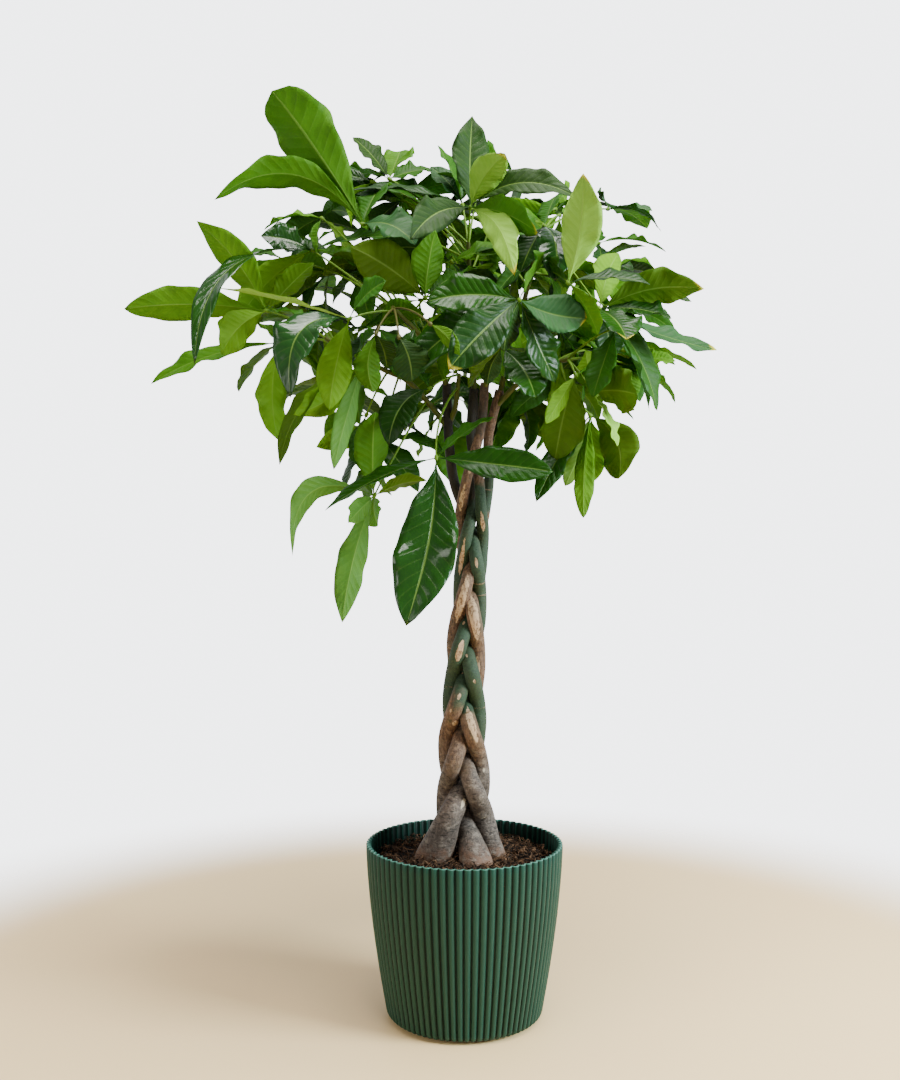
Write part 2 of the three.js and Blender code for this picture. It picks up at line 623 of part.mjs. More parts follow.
// The stems with the seat gap round them: the shoots are cut back to it.
const seats = STEMS.map((stem) => entry(stem.name, solidOf(stemTube(stem, SEAT_GAP))));
const allSeats = seats.map(({ solid }) => solid).reduce((all, solid) => all.add(solid));
for (const { name, solids } of growCrown(seats)) {
  const whole = solids.reduce((body, solid) => body.add(solid)).subtract(allSeats);
  place(name, geometryOf(mainBody(whole)), finish('#3d7a1f', 0.4));
}

export default plant;
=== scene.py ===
"""Potted money tree: a fluted planter with soil, five plaited stems and leafy shoots, in metres."""
import math

import bpy
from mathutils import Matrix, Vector
from mathutils.kdtree import KDTree


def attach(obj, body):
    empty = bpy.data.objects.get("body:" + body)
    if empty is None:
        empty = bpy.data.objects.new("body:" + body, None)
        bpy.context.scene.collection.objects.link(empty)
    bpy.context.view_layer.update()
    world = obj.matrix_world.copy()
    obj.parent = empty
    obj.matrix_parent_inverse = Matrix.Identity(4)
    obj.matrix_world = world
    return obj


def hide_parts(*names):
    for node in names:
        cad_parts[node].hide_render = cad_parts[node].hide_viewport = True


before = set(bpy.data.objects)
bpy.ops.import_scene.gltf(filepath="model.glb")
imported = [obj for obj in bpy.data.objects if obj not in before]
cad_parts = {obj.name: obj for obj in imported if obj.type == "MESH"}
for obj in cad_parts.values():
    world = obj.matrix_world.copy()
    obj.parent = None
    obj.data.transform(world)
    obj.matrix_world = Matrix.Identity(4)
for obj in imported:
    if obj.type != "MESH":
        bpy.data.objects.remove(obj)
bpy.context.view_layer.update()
scene = bpy.context.scene
MM = 0.001


# Planter. One moulded pot of matt dark green plastic. Its thin wall is corrugated in 77
# upright flutes from the foot to the scalloped rim, and the foot rounds in to a plain
# flat underside.
class Wire:
    """One output of a node. Arithmetic on it adds Math nodes to its tree."""

    def __init__(self, graph, socket):
        self.graph = graph
        self.socket = socket

    def __add__(self, other):
        return self.graph.math("ADD", self, other)

    def __mul__(self, other):
        return self.graph.math("MULTIPLY", self, other)

    def __sub__(self, other):
        return self.graph.math("SUBTRACT", self, other)

    def __rsub__(self, other):
        return self.graph.math("SUBTRACT", other, self)

    def __truediv__(self, other):
        return self.graph.math("DIVIDE", self, other)

    def __pow__(self, power):
        return self.graph.math("POWER", self, power)

    __radd__ = __add__
    __rmul__ = __mul__


class Graph:
    """A node tree written as expressions."""

    def __init__(self, tree):
        self.tree = tree

    def node(self, kind, sockets=None, out=0, stops=(), **settings):
        """Adds a node: its settings first, then a value or a wire for each socket."""
        made = self.tree.nodes.new(kind)
        for name, value in settings.items():
            setattr(made, name, value)
        for place, (position, shade) in enumerate(stops):
            elements = made.color_ramp.elements
            stop = elements[place] if place < len(elements) else elements.new(position)
            stop.position = position
            stop.color = shade
        for name, value in (sockets or {}).items():
            if isinstance(value, Wire):
                self.tree.links.new(value.socket, made.inputs[name])
            elif value is not None:
                made.inputs[name].default_value = value
        return Wire(self, made.outputs[out])

    def math(self, operation, *values):
        return self.node("ShaderNodeMath", dict(enumerate(values)), operation=operation)

    def vector(self, operation, *values, out=0):
        return self.node("ShaderNodeVectorMath", dict(enumerate(values)), out, operation=operation)

    def scaled(self, vector, share):
        return self.node("ShaderNodeVectorMath", {0: vector, 3: share}, operation="SCALE")

    def total(self, *vectors):
        result = vectors[0]
        for vector in vectors[1:]:
            result = self.vector("ADD", result, vector)
        return result

    def axis(self, vector, which):
        """One coordinate of a vector: 0, 1 or 2."""
        return self.node("ShaderNodeSeparateXYZ", {0: vector}, which)

    def joined(self, x=None, y=None, z=None):
        """A vector from its coordinates."""
        return self.node("ShaderNodeCombineXYZ", {0: x, 1: y, 2: z})

    def step(self, value, low, high):
        """0 below low, 1 above high, smooth between them."""
        return self.node("ShaderNodeMapRange", {"Value": value, "From Min": low, "From Max": high},
                         interpolation_type="SMOOTHSTEP")

    def mix(self, share, first, second):
        """A colour between two colours."""
        return self.node("ShaderNodeMix", {0: share, 6: first, 7: second}, 2, data_type="RGBA")

    def noise(self, place, scale, detail=3.0, roughness=0.5):
        return self.node("ShaderNodeTexNoise", {"Vector": place, "Scale": scale, "Detail": detail,
                                                "Roughness": roughness})


def colour(red, green, blue):
    """A colour given as it looks on a screen, 0 to 255, as linear light."""
    levels = [level / 255 for level in (red, green, blue)]
    return [level / 12.92 if level <= 0.04045 else ((level + 0.055) / 1.055) ** 2.4
            for level in levels] + [1.0]


class Finish(Graph):
    """A material whose surface is written as expressions."""

    def __init__(self, name, roughness, specular=0.5):
        self.material = bpy.data.materials.new(name)
        self.material.use_nodes = True
        super().__init__(self.material.node_tree)
        self.surface = self.tree.nodes["Principled BSDF"]
        self.surface.inputs["Roughness"].default_value = roughness
        self.surface.inputs["Specular IOR Level"].default_value = specular

    def place(self):
        return self.node("ShaderNodeTexCoord", out=3)

    def stored(self, name):
        return self.node("ShaderNodeAttribute", out=2, attribute_name=name)

    def layers(self, base, *rows):
        """Colours over a base. Each has its amount where its field rises from low to high."""
        base, *shades = [shade if isinstance(shade, Wire) else colour(*shade)
                         for shade in (base, *(row[3] for row in rows))]
        for (field, low, high, _, amount), shade in zip(rows, shades):
            base = self.mix(self.step(field, low, high) * amount, base, shade)
        return base

    def set(self, socket, value):
        self.tree.links.new(value.socket, self.surface.inputs[socket])

    def bump(self, height, distance, strength):
        self.set("Normal", self.node("ShaderNodeBump", {
            "Height": height, "Distance": distance, "Strength": strength}))


class Recipe(Graph):
    """A Geometry Nodes tree with a named input for each of its sizes and one for its finish."""

    KINDS = {int: "NodeSocketInt", float: "NodeSocketFloat", Finish: "NodeSocketMaterial"}

    def __init__(self, name, **sizes):
        super().__init__(bpy.data.node_groups.new(name, "GeometryNodeTree"))
        sizes["Finish"] = Finish
        sockets = self.tree.interface
        sockets.new_socket("Source", in_out="INPUT", socket_type="NodeSocketGeometry")
        sockets.new_socket("Piece", in_out="OUTPUT", socket_type="NodeSocketGeometry")
        self.keys = {}
        for size, kind in sizes.items():
            socket = sockets.new_socket(size, in_out="INPUT", socket_type=self.KINDS[kind])
            self.keys[size] = socket.identifier
        group = self.tree.nodes.new("NodeGroupInput")
        self.source = Wire(self, group.outputs["Source"])
        self.size = {size: Wire(self, group.outputs[size]) for size in sizes}

    def field(self, name, kind="FLOAT"):
        return self.node("GeometryNodeInputNamedAttribute", {"Name": name}, data_type=kind)

    def position(self):
        return self.node("GeometryNodeInputPosition")

    def store(self, geometry, name, value):
        return self.node("GeometryNodeStoreNamedAttribute", {
            "Geometry": geometry, "Name": name, "Value": value}, data_type="FLOAT", domain="POINT")

    def realized(self, geometry):
        return self.node("GeometryNodeRealizeInstances", {"Geometry": geometry})

    def merged(self, geometry, distance):
        return self.node("GeometryNodeMergeByDistance", {
            "Geometry": geometry, "Distance": distance})

    def finish(self, geometry):
        """Ends the tree: real geometry, smooth, in its material."""
        smooth = self.node("GeometryNodeSetShadeSmooth", {"Geometry": self.realized(geometry)})
        coated = self.node("GeometryNodeSetMaterial", {
            "Geometry": smooth, "Material": self.size["Finish"]})
        end = self.tree.nodes.new("NodeGroupOutput")
        self.tree.links.new(coated.socket, end.inputs["Piece"])

    def make(self, name, source, finish, **sizes):
        """Runs the tree on a source mesh and returns the result as a plain object."""
        holder = bpy.data.objects.new(name + "_source", source)
        scene.collection.objects.link(holder)
        modifier = holder.modifiers.new("recipe", "NODES")
        modifier.node_group = self.tree
        for size, value in {**sizes, "Finish": finish.material}.items():
            modifier[self.keys[size]] = value
        graph = bpy.context.evaluated_depsgraph_get()
        mesh = bpy.data.meshes.new_from_object(holder.evaluated_get(graph), depsgraph=graph)
        bpy.data.objects.remove(holder)
        mesh.name = name
        piece = bpy.data.objects.new(name, mesh)
        scene.collection.objects.link(piece)
        return piece


def points_mesh(name, points, edges=(), **fields):
    """Loose points, joined by edges if given, with a number or a vector at each for each field."""
    mesh = bpy.data.meshes.new(name)
    mesh.from_pydata(points, edges, [])
    for field, values in fields.items():
        if isinstance(values[0], (int, float)):
            mesh.attributes.new(field, "FLOAT", "POINT").data.foreach_set("value", values)
        else:
            flat = [number for value in values for number in value]
            mesh.attributes.new(field, "FLOAT_VECTOR", "POINT").data.foreach_set("vector", flat)
    return mesh


def settle(piece, slot, *nodes):
    """The piece rides on the one body and stands for CAD nodes, which it hides. The slot is not
    used.
    """
    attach(piece, "root")
    if nodes:
        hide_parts(*nodes)


# A turned body: an outline (distance from the axis, 0, height) swept round the axis. The
# stored "flute" share lets the flutes act on the outline, and "lumpy" lets the lumps act.
# The groove depth is stored on the result, as the strength of the painted shade in the
# plastic's grooves: how deep a point lies in a groove, outside or "inner".
RIB_ROUNDNESS = 0.7
turned = Recipe("turned body", Steps=int, Flutes=float, FluteDepth=float, LumpHeight=float,
                LumpScale=float)
rings = turned.node("GeometryNodeAttributeDomainSize", {"Geometry": turned.source})
sheet = turned.node("GeometryNodeMeshGrid", {
    "Size X": 1.0, "Size Y": 1.0, "Vertices X": turned.size["Steps"] + 1, "Vertices Y": rings})
count = turned.node("GeometryNodeInputIndex")
station = turned.math("MODULO", count, rings)
turn = turned.math("FLOOR", count / rings) * (2 * math.pi) / turned.size["Steps"]


def sampled(value, kind="FLOAT"):
    """A value of the outline at this station."""
    return turned.node("GeometryNodeSampleIndex", {
        "Geometry": turned.source, "Value": value, "Index": station}, data_type=kind)


outline = sampled(turned.position(), "FLOAT_VECTOR")
flute, lumpy, inner = [sampled(turned.field(name)) for name in ("flute", "lumpy", "inner")]
swell = turn * turned.size["Flutes"]
rib = turned.math("ABSOLUTE", turned.math("COSINE", swell * 0.5)) ** RIB_ROUNDNESS
reach = turned.axis(outline, 0) + (rib * 2.0 - 1.0) * flute * turned.size["FluteDepth"] * 0.5
groove_shade = (inner * rib + (1.0 - inner) * (1.0 - rib)) * flute
place = turned.joined(reach * turned.math("COSINE", turn), reach * turned.math("SINE", turn),
                      turned.axis(outline, 2))
lump = (turned.noise(place, turned.size["LumpScale"], 5.0, 0.65) - 0.5) * turned.size["LumpHeight"]
body = turned.node("GeometryNodeSetPosition", {
    "Geometry": turned.store(sheet, "groove_shade", groove_shade),
    "Position": turned.vector("ADD", place, turned.joined(z=lump * lumpy))})
turned.finish(turned.merged(body, 0.02 * MM))

POT_HEIGHT = 262
POT_RIM_RADIUS = 150
POT_TAPER = 33
POT_TAPER_POWER = 1.55
POT_WALL = 2.6
POT_FLOOR = 5
FOOT_RADIUS = 105
FOOT_TOP = 14
FOOT_SET_BACK = 5
FOOT_GAP = 3
FOOT_STEPS = 10
FLUTES_FULL_AT = 4
FLUTES_FADE_POWER = 0.6
WALL_STEPS = 22
INSIDE_STEPS = 12
FLUTES = 77
FLUTE_DEPTH = 4.8
FLUTE_STEPS = 12
LIP = 0.9
LIP_EDGE = LIP * 0.3


def pot_radius(height):
    return (POT_RIM_RADIUS - FLUTE_DEPTH / 2
            - POT_TAPER * (1 - height / POT_HEIGHT) ** POT_TAPER_POWER)


def pot_outline():
    """(distance from the axis, height, flute share), from the underside over the rim to inside."""
    ring = FOOT_RADIUS - FOOT_SET_BACK
    rows = [(0, 0, 0), (ring - 1, 0, 0), (ring, 1, 0), (ring, FOOT_GAP, 0)]
    foot = pot_radius(FOOT_TOP) - FOOT_RADIUS
    for i in range(FOOT_STEPS + 1):
        bend = math.radians(90 * i / FOOT_STEPS)
        rows.append((FOOT_RADIUS + foot * math.sin(bend),
                     FOOT_GAP + (FOOT_TOP - FOOT_GAP) * (1 - math.cos(bend)),
                     min(1.0, i / FLUTES_FULL_AT) ** FLUTES_FADE_POWER))
    for i in range(1, WALL_STEPS + 1):
        height = FOOT_TOP + (POT_HEIGHT - LIP - FOOT_TOP) * i / WALL_STEPS
        rows.append((pot_radius(height), height, 1))
    rim = pot_radius(POT_HEIGHT)
    rows += [(rim - LIP_EDGE, POT_HEIGHT - LIP_EDGE, 1), (rim - LIP, POT_HEIGHT, 1),
             (rim - POT_WALL + LIP, POT_HEIGHT, 1),
             (rim - POT_WALL + LIP_EDGE, POT_HEIGHT - LIP_EDGE, 1)]
    for i in range(INSIDE_STEPS + 1):
        height = POT_HEIGHT - LIP - (POT_HEIGHT - LIP - FOOT_TOP) * i / INSIDE_STEPS
        rows.append((pot_radius(height) - POT_WALL, height, 1))
    return rows + [(FOOT_RADIUS, POT_FLOOR, 0), (0, POT_FLOOR, 0)]


def turned_piece(name, rows, lumpy, inner, finish, steps, flutes=0, depth=0.0, lump_height=0.0,
                 lump_scale=1.0):
    points = [(reach * MM, 0, height * MM) for reach, height, _ in rows]
    source = points_mesh(name + "_outline", points,
                         flute=[float(share) for _, _, share in rows],
                         lumpy=[float(share) for share in lumpy],
                         inner=[float(share) for share in inner])
    return turned.make(name, source, finish, Steps=steps, Flutes=float(flutes),
                       FluteDepth=depth * MM, LumpHeight=lump_height * MM, LumpScale=lump_scale)


plastic = Finish("matt_green_plastic", 0.42, specular=0.18)
spot = plastic.place()
cloudy = plastic.noise(spot, 9.0, 3.0)
grain = plastic.noise(spot, 900.0, 2.0)
plastic.set("Base Color", plastic.layers(
    plastic.mix(cloudy, colour(23, 58, 47), colour(26, 63, 51)),
    # Painted shade: near black laid into the flute grooves by the stored groove depth.
    (plastic.stored("groove_shade"), 0.15, 0.75, (5, 14, 8), 0.8),
    # Painted highlight: a pale blue-green band along the top of the rim, where light from above
    # falls.
    (plastic.axis(spot, 2), (POT_HEIGHT - 2 * LIP) * MM, (POT_HEIGHT - LIP_EDGE) * MM,
     (74, 122, 106), 0.75)))
plastic.set("Roughness", 0.40 + 0.12 * cloudy)
plastic.bump(grain, 0.12 * MM, 0.5)

rows = pot_outline()
over_the_rim = [height for _, height, _ in rows].index(POT_HEIGHT)
planter = turned_piece("fluted_planter", rows, [0] * len(rows),
                       [i > over_the_rim for i in range(len(rows))], plastic,
                       FLUTES * FLUTE_STEPS, FLUTES, FLUTE_DEPTH)
settle(planter, "pot", "pot")


# Soil. Damp dark potting soil with coir fibre and bark chips, filled to a thumb's width
# below the rim and mounded round the stems.
SOIL_EDGE = 231
SOIL_RISE = 9
SOIL_MOUND_RADIUS = 92
SOIL_GAP = 0.4
SOIL_STEPS = 260
SOIL_SIDE_HEIGHTS = (20, 60, 110, 160, 200, SOIL_EDGE - 2)
MOUND_RINGS = 48
LUMP_HEIGHT = 13
LUMP_SCALE = 75.0


def soil_radius(height):
    return pot_radius(height) - POT_WALL - FLUTE_DEPTH / 2 - SOIL_GAP


def soil_outline():
    rows = [(0, POT_FLOOR + 1, 0), (FOOT_RADIUS - 2, POT_FLOOR + 1, 0)]
    rows += [(soil_radius(height), height, 0) for height in SOIL_SIDE_HEIGHTS]
    edge = soil_radius(SOIL_EDGE)
    for i in range(MOUND_RINGS):
        reach = edge * (1 - i / (MOUND_RINGS - 1))
        climb = min(1.0, (edge - reach) / (edge - SOIL_MOUND_RADIUS))
        rows.append((reach, SOIL_EDGE + SOIL_RISE * math.sin(math.pi / 2 * climb), 0))
    return rows


rows = soil_outline()
below_edge = len(rows) - MOUND_RINGS
lumpy = [0] * below_edge + [min(1.0, 0.25 + 0.25 * i) for i in range(MOUND_RINGS)]

earth = Finish("damp_soil", 0.9, specular=0.15)
spot = earth.place()
crumbs = earth.noise(spot, 160.0, 6.0, 0.7)
shade = earth.noise(spot, 30.0, 3.0)
brown = earth.layers((7, 4, 2), (crumbs, 0.4, 0.75, (35, 23, 16), 1))
earth.set("Base Color", earth.mix(shade * 0.6, brown, colour(13, 7, 4)))
earth.bump(crumbs, 4 * MM, 0.9)
soil = turned_piece("potting_soil", rows, lumpy, [0] * len(rows), earth, SOIL_STEPS,
                    lump_height=LUMP_HEIGHT, lump_scale=LUMP_SCALE)
settle(soil, "soil", "soil")

# Fibres and chips lie scattered on the soil: straight slivers, bent after they are laid.
LITTER_REACH = 130
LITTER_DROP = 4
LITTER_TILT = 0.28
TURN = 6.28
litter = Recipe("litter", Density=float, Length=float, Thickness=float, Bend=float, Seed=int)
place = litter.position()
from_axis = litter.vector("LENGTH", litter.vector("MULTIPLY", place, (1, 1, 0)), out=1)
on_top = litter.math("GREATER_THAN", litter.axis(place, 2), (SOIL_EDGE - LITTER_DROP) * MM) \
    * litter.math("LESS_THAN", from_axis, LITTER_REACH * MM)
seeds = litter.node("GeometryNodeDistributePointsOnFaces", {
    "Mesh": litter.source, "Selection": on_top, "Density": litter.size["Density"],
    "Seed": litter.size["Seed"]}, distribute_method="RANDOM")
line = litter.node("GeometryNodeCurvePrimitiveLine", {
    "Start": (-0.5, 0.0, 0.0), "End": (0.5, 0.0, 0.0)}, mode="POINTS")
line = litter.node("GeometryNodeResampleCurve", {"Curve": line, "Count": 6}, mode="COUNT")
ring = litter.node("GeometryNodeCurvePrimitiveCircle", {
    "Resolution": 4, "Radius": 0.5}, mode="RADIUS")
sliver = litter.node("GeometryNodeCurveToMesh", {
    "Curve": line, "Profile Curve": ring, "Fill Caps": True})


def drawn(low, high, step):
    """A seeded random number for each sliver."""
    return litter.node("FunctionNodeRandomValue", {
        2: low, 3: high, "Seed": litter.size["Seed"] + step}, 1, data_type="FLOAT")


facing = litter.node("FunctionNodeEulerToRotation", {0: litter.joined(
    drawn(0.0, TURN, 1), drawn(-LITTER_TILT, LITTER_TILT, 2), drawn(0.0, TURN, 3))})
stretch = litter.joined(
    litter.size["Length"] * drawn(0.4, 1.3, 4), litter.size["Thickness"] * drawn(0.6, 1.5, 5),
    litter.size["Thickness"] * drawn(0.4, 0.9, 6))
laid = litter.realized(litter.node("GeometryNodeInstanceOnPoints", {
    "Points": seeds, "Instance": sliver, "Rotation": facing, "Scale": stretch}))
curl = litter.node("ShaderNodeTexNoise", {"Scale": 70.0, "Detail": 1.0}, 1)
curl = litter.scaled(litter.vector("SUBTRACT", curl, (0.5, 0.5, 0.44)), litter.size["Bend"])
litter.finish(litter.node("GeometryNodeSetPosition", {"Geometry": laid, "Offset": curl}))

for name, finish_name, dark, light, density, length, thickness, bend, seed in (
        ("coir_fibres", "coir_fibre", (24, 15, 9), (108, 80, 57), 24000.0, 26, 0.62, 46, 3),
        ("bark_chips", "bark_chip", (12, 8, 5), (38, 25, 18), 11000.0, 8, 2.6, 5, 8)):
    fibre = Finish(finish_name, 0.8, specular=0.15)
    mottle = fibre.noise(fibre.place(), 120.0, 2.0)
    fibre.set("Base Color", fibre.layers(dark, (mottle, 0.35, 0.65, light, 1)))
    piece = litter.make(name, soil.data, fibre, Density=density, Length=length * MM,
                        Thickness=thickness * MM, Bend=bend * MM, Seed=seed)
    settle(piece, "soil")


# Stems. Five young trunks planted together and plaited while they were soft, each cut off
# square above its last side shoot. Bark: grey and wrinkled at the foot, smooth green
# higher up, with tan scars and thin rings where leaves were shed.
PLAIT_BOTTOM = 304
PLAIT_TOP = 770
PLAIT_STEP = 42.3
DEGREES_PER_STEP = 36
DEPTH_SHARE = 1.05
DEPTH_SECOND_SHARE = 0.5
PLAIT_SPACING = 20
STEM_FOOT = 150
BURIED_SHARE = 0.9
FLARE = 1.04
COLLAR_SHARE = 0.45
COLLAR_RISE = 24
LEG_REACH = 60
STATION = 3
TRUNK_SIDES = 40
TRUNK_WRINKLE = 1.5
TRUNK_WRINKLE_SCALE = 70.0
PLAIT_HALF_WIDTH = [
    (PLAIT_BOTTOM, 44), (341, 41.7), (425, 37.3), (510, 31.6), (570, 30.3), (632, 26.7),
    (700, 24.8), (739, 27), (PLAIT_TOP, 28)]
PLAIT_MIDDLE = [
    (PLAIT_BOTTOM, 0), (425, -2.5), (570, 2.8), (632, 7.8), (739, 12.8), (PLAIT_TOP, 13)]
STEM_RADIUS = [
    (PLAIT_BOTTOM, 15.2), (350, 13.6), (450, 12.2), (550, 11.4), (650, 10.4), (700, 9.8),
    (760, 8.8), (800, 8.0), (850, 7.4), (960, 6.9)]
# "radii" are those of a leg at the soil, its collar and its shoulder. "lean" and "swell" shift
# and thicken the stem just above it. "brown" gives its colour by height, and "dark" the
# painted shade, by height, where the crown shades the stem. A scar is (height, turn from the
# front in degrees, half its length, half its width), a ring a height.
STEMS = [
    {"name": "stem_1", "foot": (-50, -12), "radii": (27, 25, 22), "lean": -8, "swell": 4,
     "phase": 324, "top": [(14, 14, 815), (15, 26, 860), (15, 30, 950)],
     "brown": [(400, 0.7), (450, 0.1), (760, 0.1), (800, 0.8)], "dark": [(740, 0), (800, 0.8)],
     "scars": [(700, 10, 42, 5), (543, 5, 4, 3), (515, -8, 4, 3), (327, -30, 9, 5),
               (250, -60, 5, 6)],
     "rings": [610, 470]},
    {"name": "stem_2", "foot": (18, -36), "radii": (26, 20, 15), "lean": 0, "swell": 0,
     "phase": 180, "top": [(-16, 22, 815), (-25, 10, 900), (-27, 8, 964)],
     "brown": [(400, 0.9), (470, 0.7), (510, 0.15), (720, 0.1), (800, 0.9)],
     "dark": [(740, 0), (790, 0.9)],
     "scars": [(690, 5, 10, 4), (486, 0, 5, 4), (455, -35, 9, 7), (470, 25, 4, 4), (512, 30, 3, 3)],
     "rings": [660, 641, 520]},
    {"name": "stem_3", "foot": (48, 2), "radii": (17, 16, 17), "lean": 0, "swell": 2.5,
     "phase": 108, "top": [(22, -12, 815), (10, 5, 880), (15, 6, 955)],
     "brown": [(380, 0.8), (440, 0.3), (520, 0.1), (790, 0.15), (830, 0.9)],
     "dark": [(800, 0), (850, 0.9)],
     "scars": [(754, 0, 21, 4.5), (558, -10, 20, 7), (314, -5, 2, 7), (322, 12, 2, 6),
               (590, 30, 6, 3)],
     "rings": [640, 500, 300]},
    {"name": "stem_4", "foot": (-34, 36), "radii": (16, 15, 15), "lean": 0, "swell": 0,
     "phase": 252, "top": [(3, -25, 815), (24, -24, 890), (31, -18, 961)],
     "brown": [(400, 0.9), (900, 1.0)], "dark": [(400, 0.1), (840, 0.15), (900, 0.5)],
     "scars": [(610, 0, 50, 11), (530, 12, 26, 9), (790, 10, 30, 5), (840, -10, 26, 5)],
     "rings": [390, 470, 745]},
    {"name": "stem_5", "foot": (28, 36), "radii": (16, 15, 15), "lean": 0, "swell": 0,
     "phase": 36, "top": [(38, 14, 815), (37, 8, 880), (54, 2, 953)],
     "brown": [(380, 0.9), (440, 0.6), (500, 0.4), (600, 0.7), (690, 0.8), (760, 0.6), (780, 0.2),
               (840, 0.2), (880, 0.9)],
     "dark": [(780, 0), (850, 0.4), (900, 0.1)],
     "scars": [(634, 5, 52, 9), (447, -20, 36, 8), (350, 25, 10, 5), (374, -20, 6, 3),
               (764, 15, 5, 3)],
     "rings": [405, 560, 800]},
]
HIDDEN_SCARS = 9
SCAR_MARGIN = 1.5
SCAR_FULLNESS = 0.35
RING_REACH = 3
SCAR_SEED = 913


def along(pairs, height):
    """The number at a height, from a list of (height, number) pairs."""
    for (low, first), (high, second) in zip(pairs, pairs[1:]):
        if height <= high:
            return first + (second - first) * max(0.0, height - low) / (high - low)
    return pairs[-1][1]


def plait_point(phase, height):
    angle = math.radians(phase + DEGREES_PER_STEP * (height - PLAIT_BOTTOM) / PLAIT_STEP)
    swing = along(PLAIT_HALF_WIDTH, height) - along(STEM_RADIUS, height)
    deep = math.sin(2 * angle) + DEPTH_SECOND_SHARE * math.sin(4 * angle)
    return Vector((along(PLAIT_MIDDLE, height) + swing * math.sin(angle),
                   swing * DEPTH_SHARE * deep, height))


def on_curve(points, share):
    """The place at a share of the smooth curve through the points."""
    run = (len(points) - 1) * share
    first = min(int(run), len(points) - 2)
    t = run - first
    start, stop = points[first], points[first + 1]
    before = points[first - 1] if first else start * 2 - stop
    after = points[first + 2] if first + 2 < len(points) else stop * 2 - start
    a, b, c = [(high - low).length ** 0.5
               for low, high in ((before, start), (start, stop), (stop, after))]
    leave = ((start - before) / a - (stop - before) / (a + b) + (stop - start) / b) * b
    arrive = ((stop - start) / b - (after - start) / (b + c) + (after - stop) / c) * b
    return (start + leave * t + (3 * (stop - start) - 2 * leave - arrive) * t ** 2
            + (2 * (start - stop) + leave + arrive) * t ** 3)


def smooth_rod(stations, spacing):
    """(place, radius) pairs, filled in evenly along the smooth curve through them."""
    places = [place for place, _ in stations]
    line = []
    for i in range(len(stations) - 1):
        steps = max(1, round((places[i + 1] - places[i]).length / spacing))
        for k in range(steps):
            share = k / steps
            radius = stations[i][1] * (1 - share) + stations[i + 1][1] * share
            line.append((on_curve(places, (i + share) / (len(places) - 1)), radius))
    return line + [stations[-1]]


def stem_line(stem):
    foot = Vector((*stem["foot"], SOIL_EDGE))
    lean = Vector((stem["lean"], 0, 0))
    start = plait_point(stem["phase"], PLAIT_BOTTOM) + lean
    collar = foot.lerp(start, COLLAR_SHARE)
    collar.z = SOIL_EDGE + SOIL_RISE + COLLAR_RISE
    buried = foot.copy()
    buried.z = STEM_FOOT
    radius, collar_radius, shoulder_radius = stem["radii"]
    points = [(buried, radius * BURIED_SHARE), (foot, radius * FLARE), (collar, collar_radius),
              (collar.lerp(start, 0.5), shoulder_radius)]
    for height in range(PLAIT_BOTTOM, PLAIT_TOP + 1, PLAIT_SPACING):
        low = max(0.0, 1 - (height - PLAIT_BOTTOM) / LEG_REACH)
        points.append((plait_point(stem["phase"], height) + lean * low,
                       along(STEM_RADIUS, height) + stem["swell"] * low))
    points += [(Vector(top), along(STEM_RADIUS, top[2])) for top in stem["top"]]
    return smooth_rod(points, STATION)


# A rod: a round section swept along each line of the source, "thick" from its axis, then
# wrinkled along its normals.
rod = Recipe("rod along a line", Sides=int, WrinkleHeight=float, WrinkleScale=float)
path = rod.node("GeometryNodeMeshToCurve", {"Mesh": rod.source})
ring = rod.node("GeometryNodeCurvePrimitiveCircle", {
    "Resolution": rod.size["Sides"], "Radius": 1.0}, mode="RADIUS")
round_rod = rod.node("GeometryNodeCurveToMesh", {
    "Curve": path, "Profile Curve": ring, "Scale": rod.field("thick"), "Fill Caps": True})
stretched = rod.vector("MULTIPLY", rod.position(), (1.0, 1.0, 0.45))
wrinkle = rod.noise(stretched, rod.size["WrinkleScale"], 4.0, 0.6) - 0.5
outwards = rod.scaled(rod.node("GeometryNodeInputNormal"), wrinkle * rod.size["WrinkleHeight"])
rod.finish(rod.node("GeometryNodeSetPosition", {"Geometry": round_rod, "Offset": outwards}))


def rods(name, lines, sides, finish, wrinkle=0.0, scale=60.0, **fields):
    """Rods in one piece. Each line is a list of (place, radius) in millimetres."""
    points = [tuple(place * MM) for line in lines for place, _ in line]
    thick = [radius * MM for line in lines for _, radius in line]
    stations = [float(i) for line in lines for i in range(len(line))]
    edges = [(i - 1, i) for i, station in enumerate(stations) if station]
    fields = {field: [float(value)] * len(points) for field, value in fields.items()}
    source = points_mesh(name + "_lines", points, edges, thick=thick, station=stations, **fields)
    return rod.make(name, source, finish, Sides=sides, WrinkleHeight=wrinkle * MM,
                    WrinkleScale=scale)


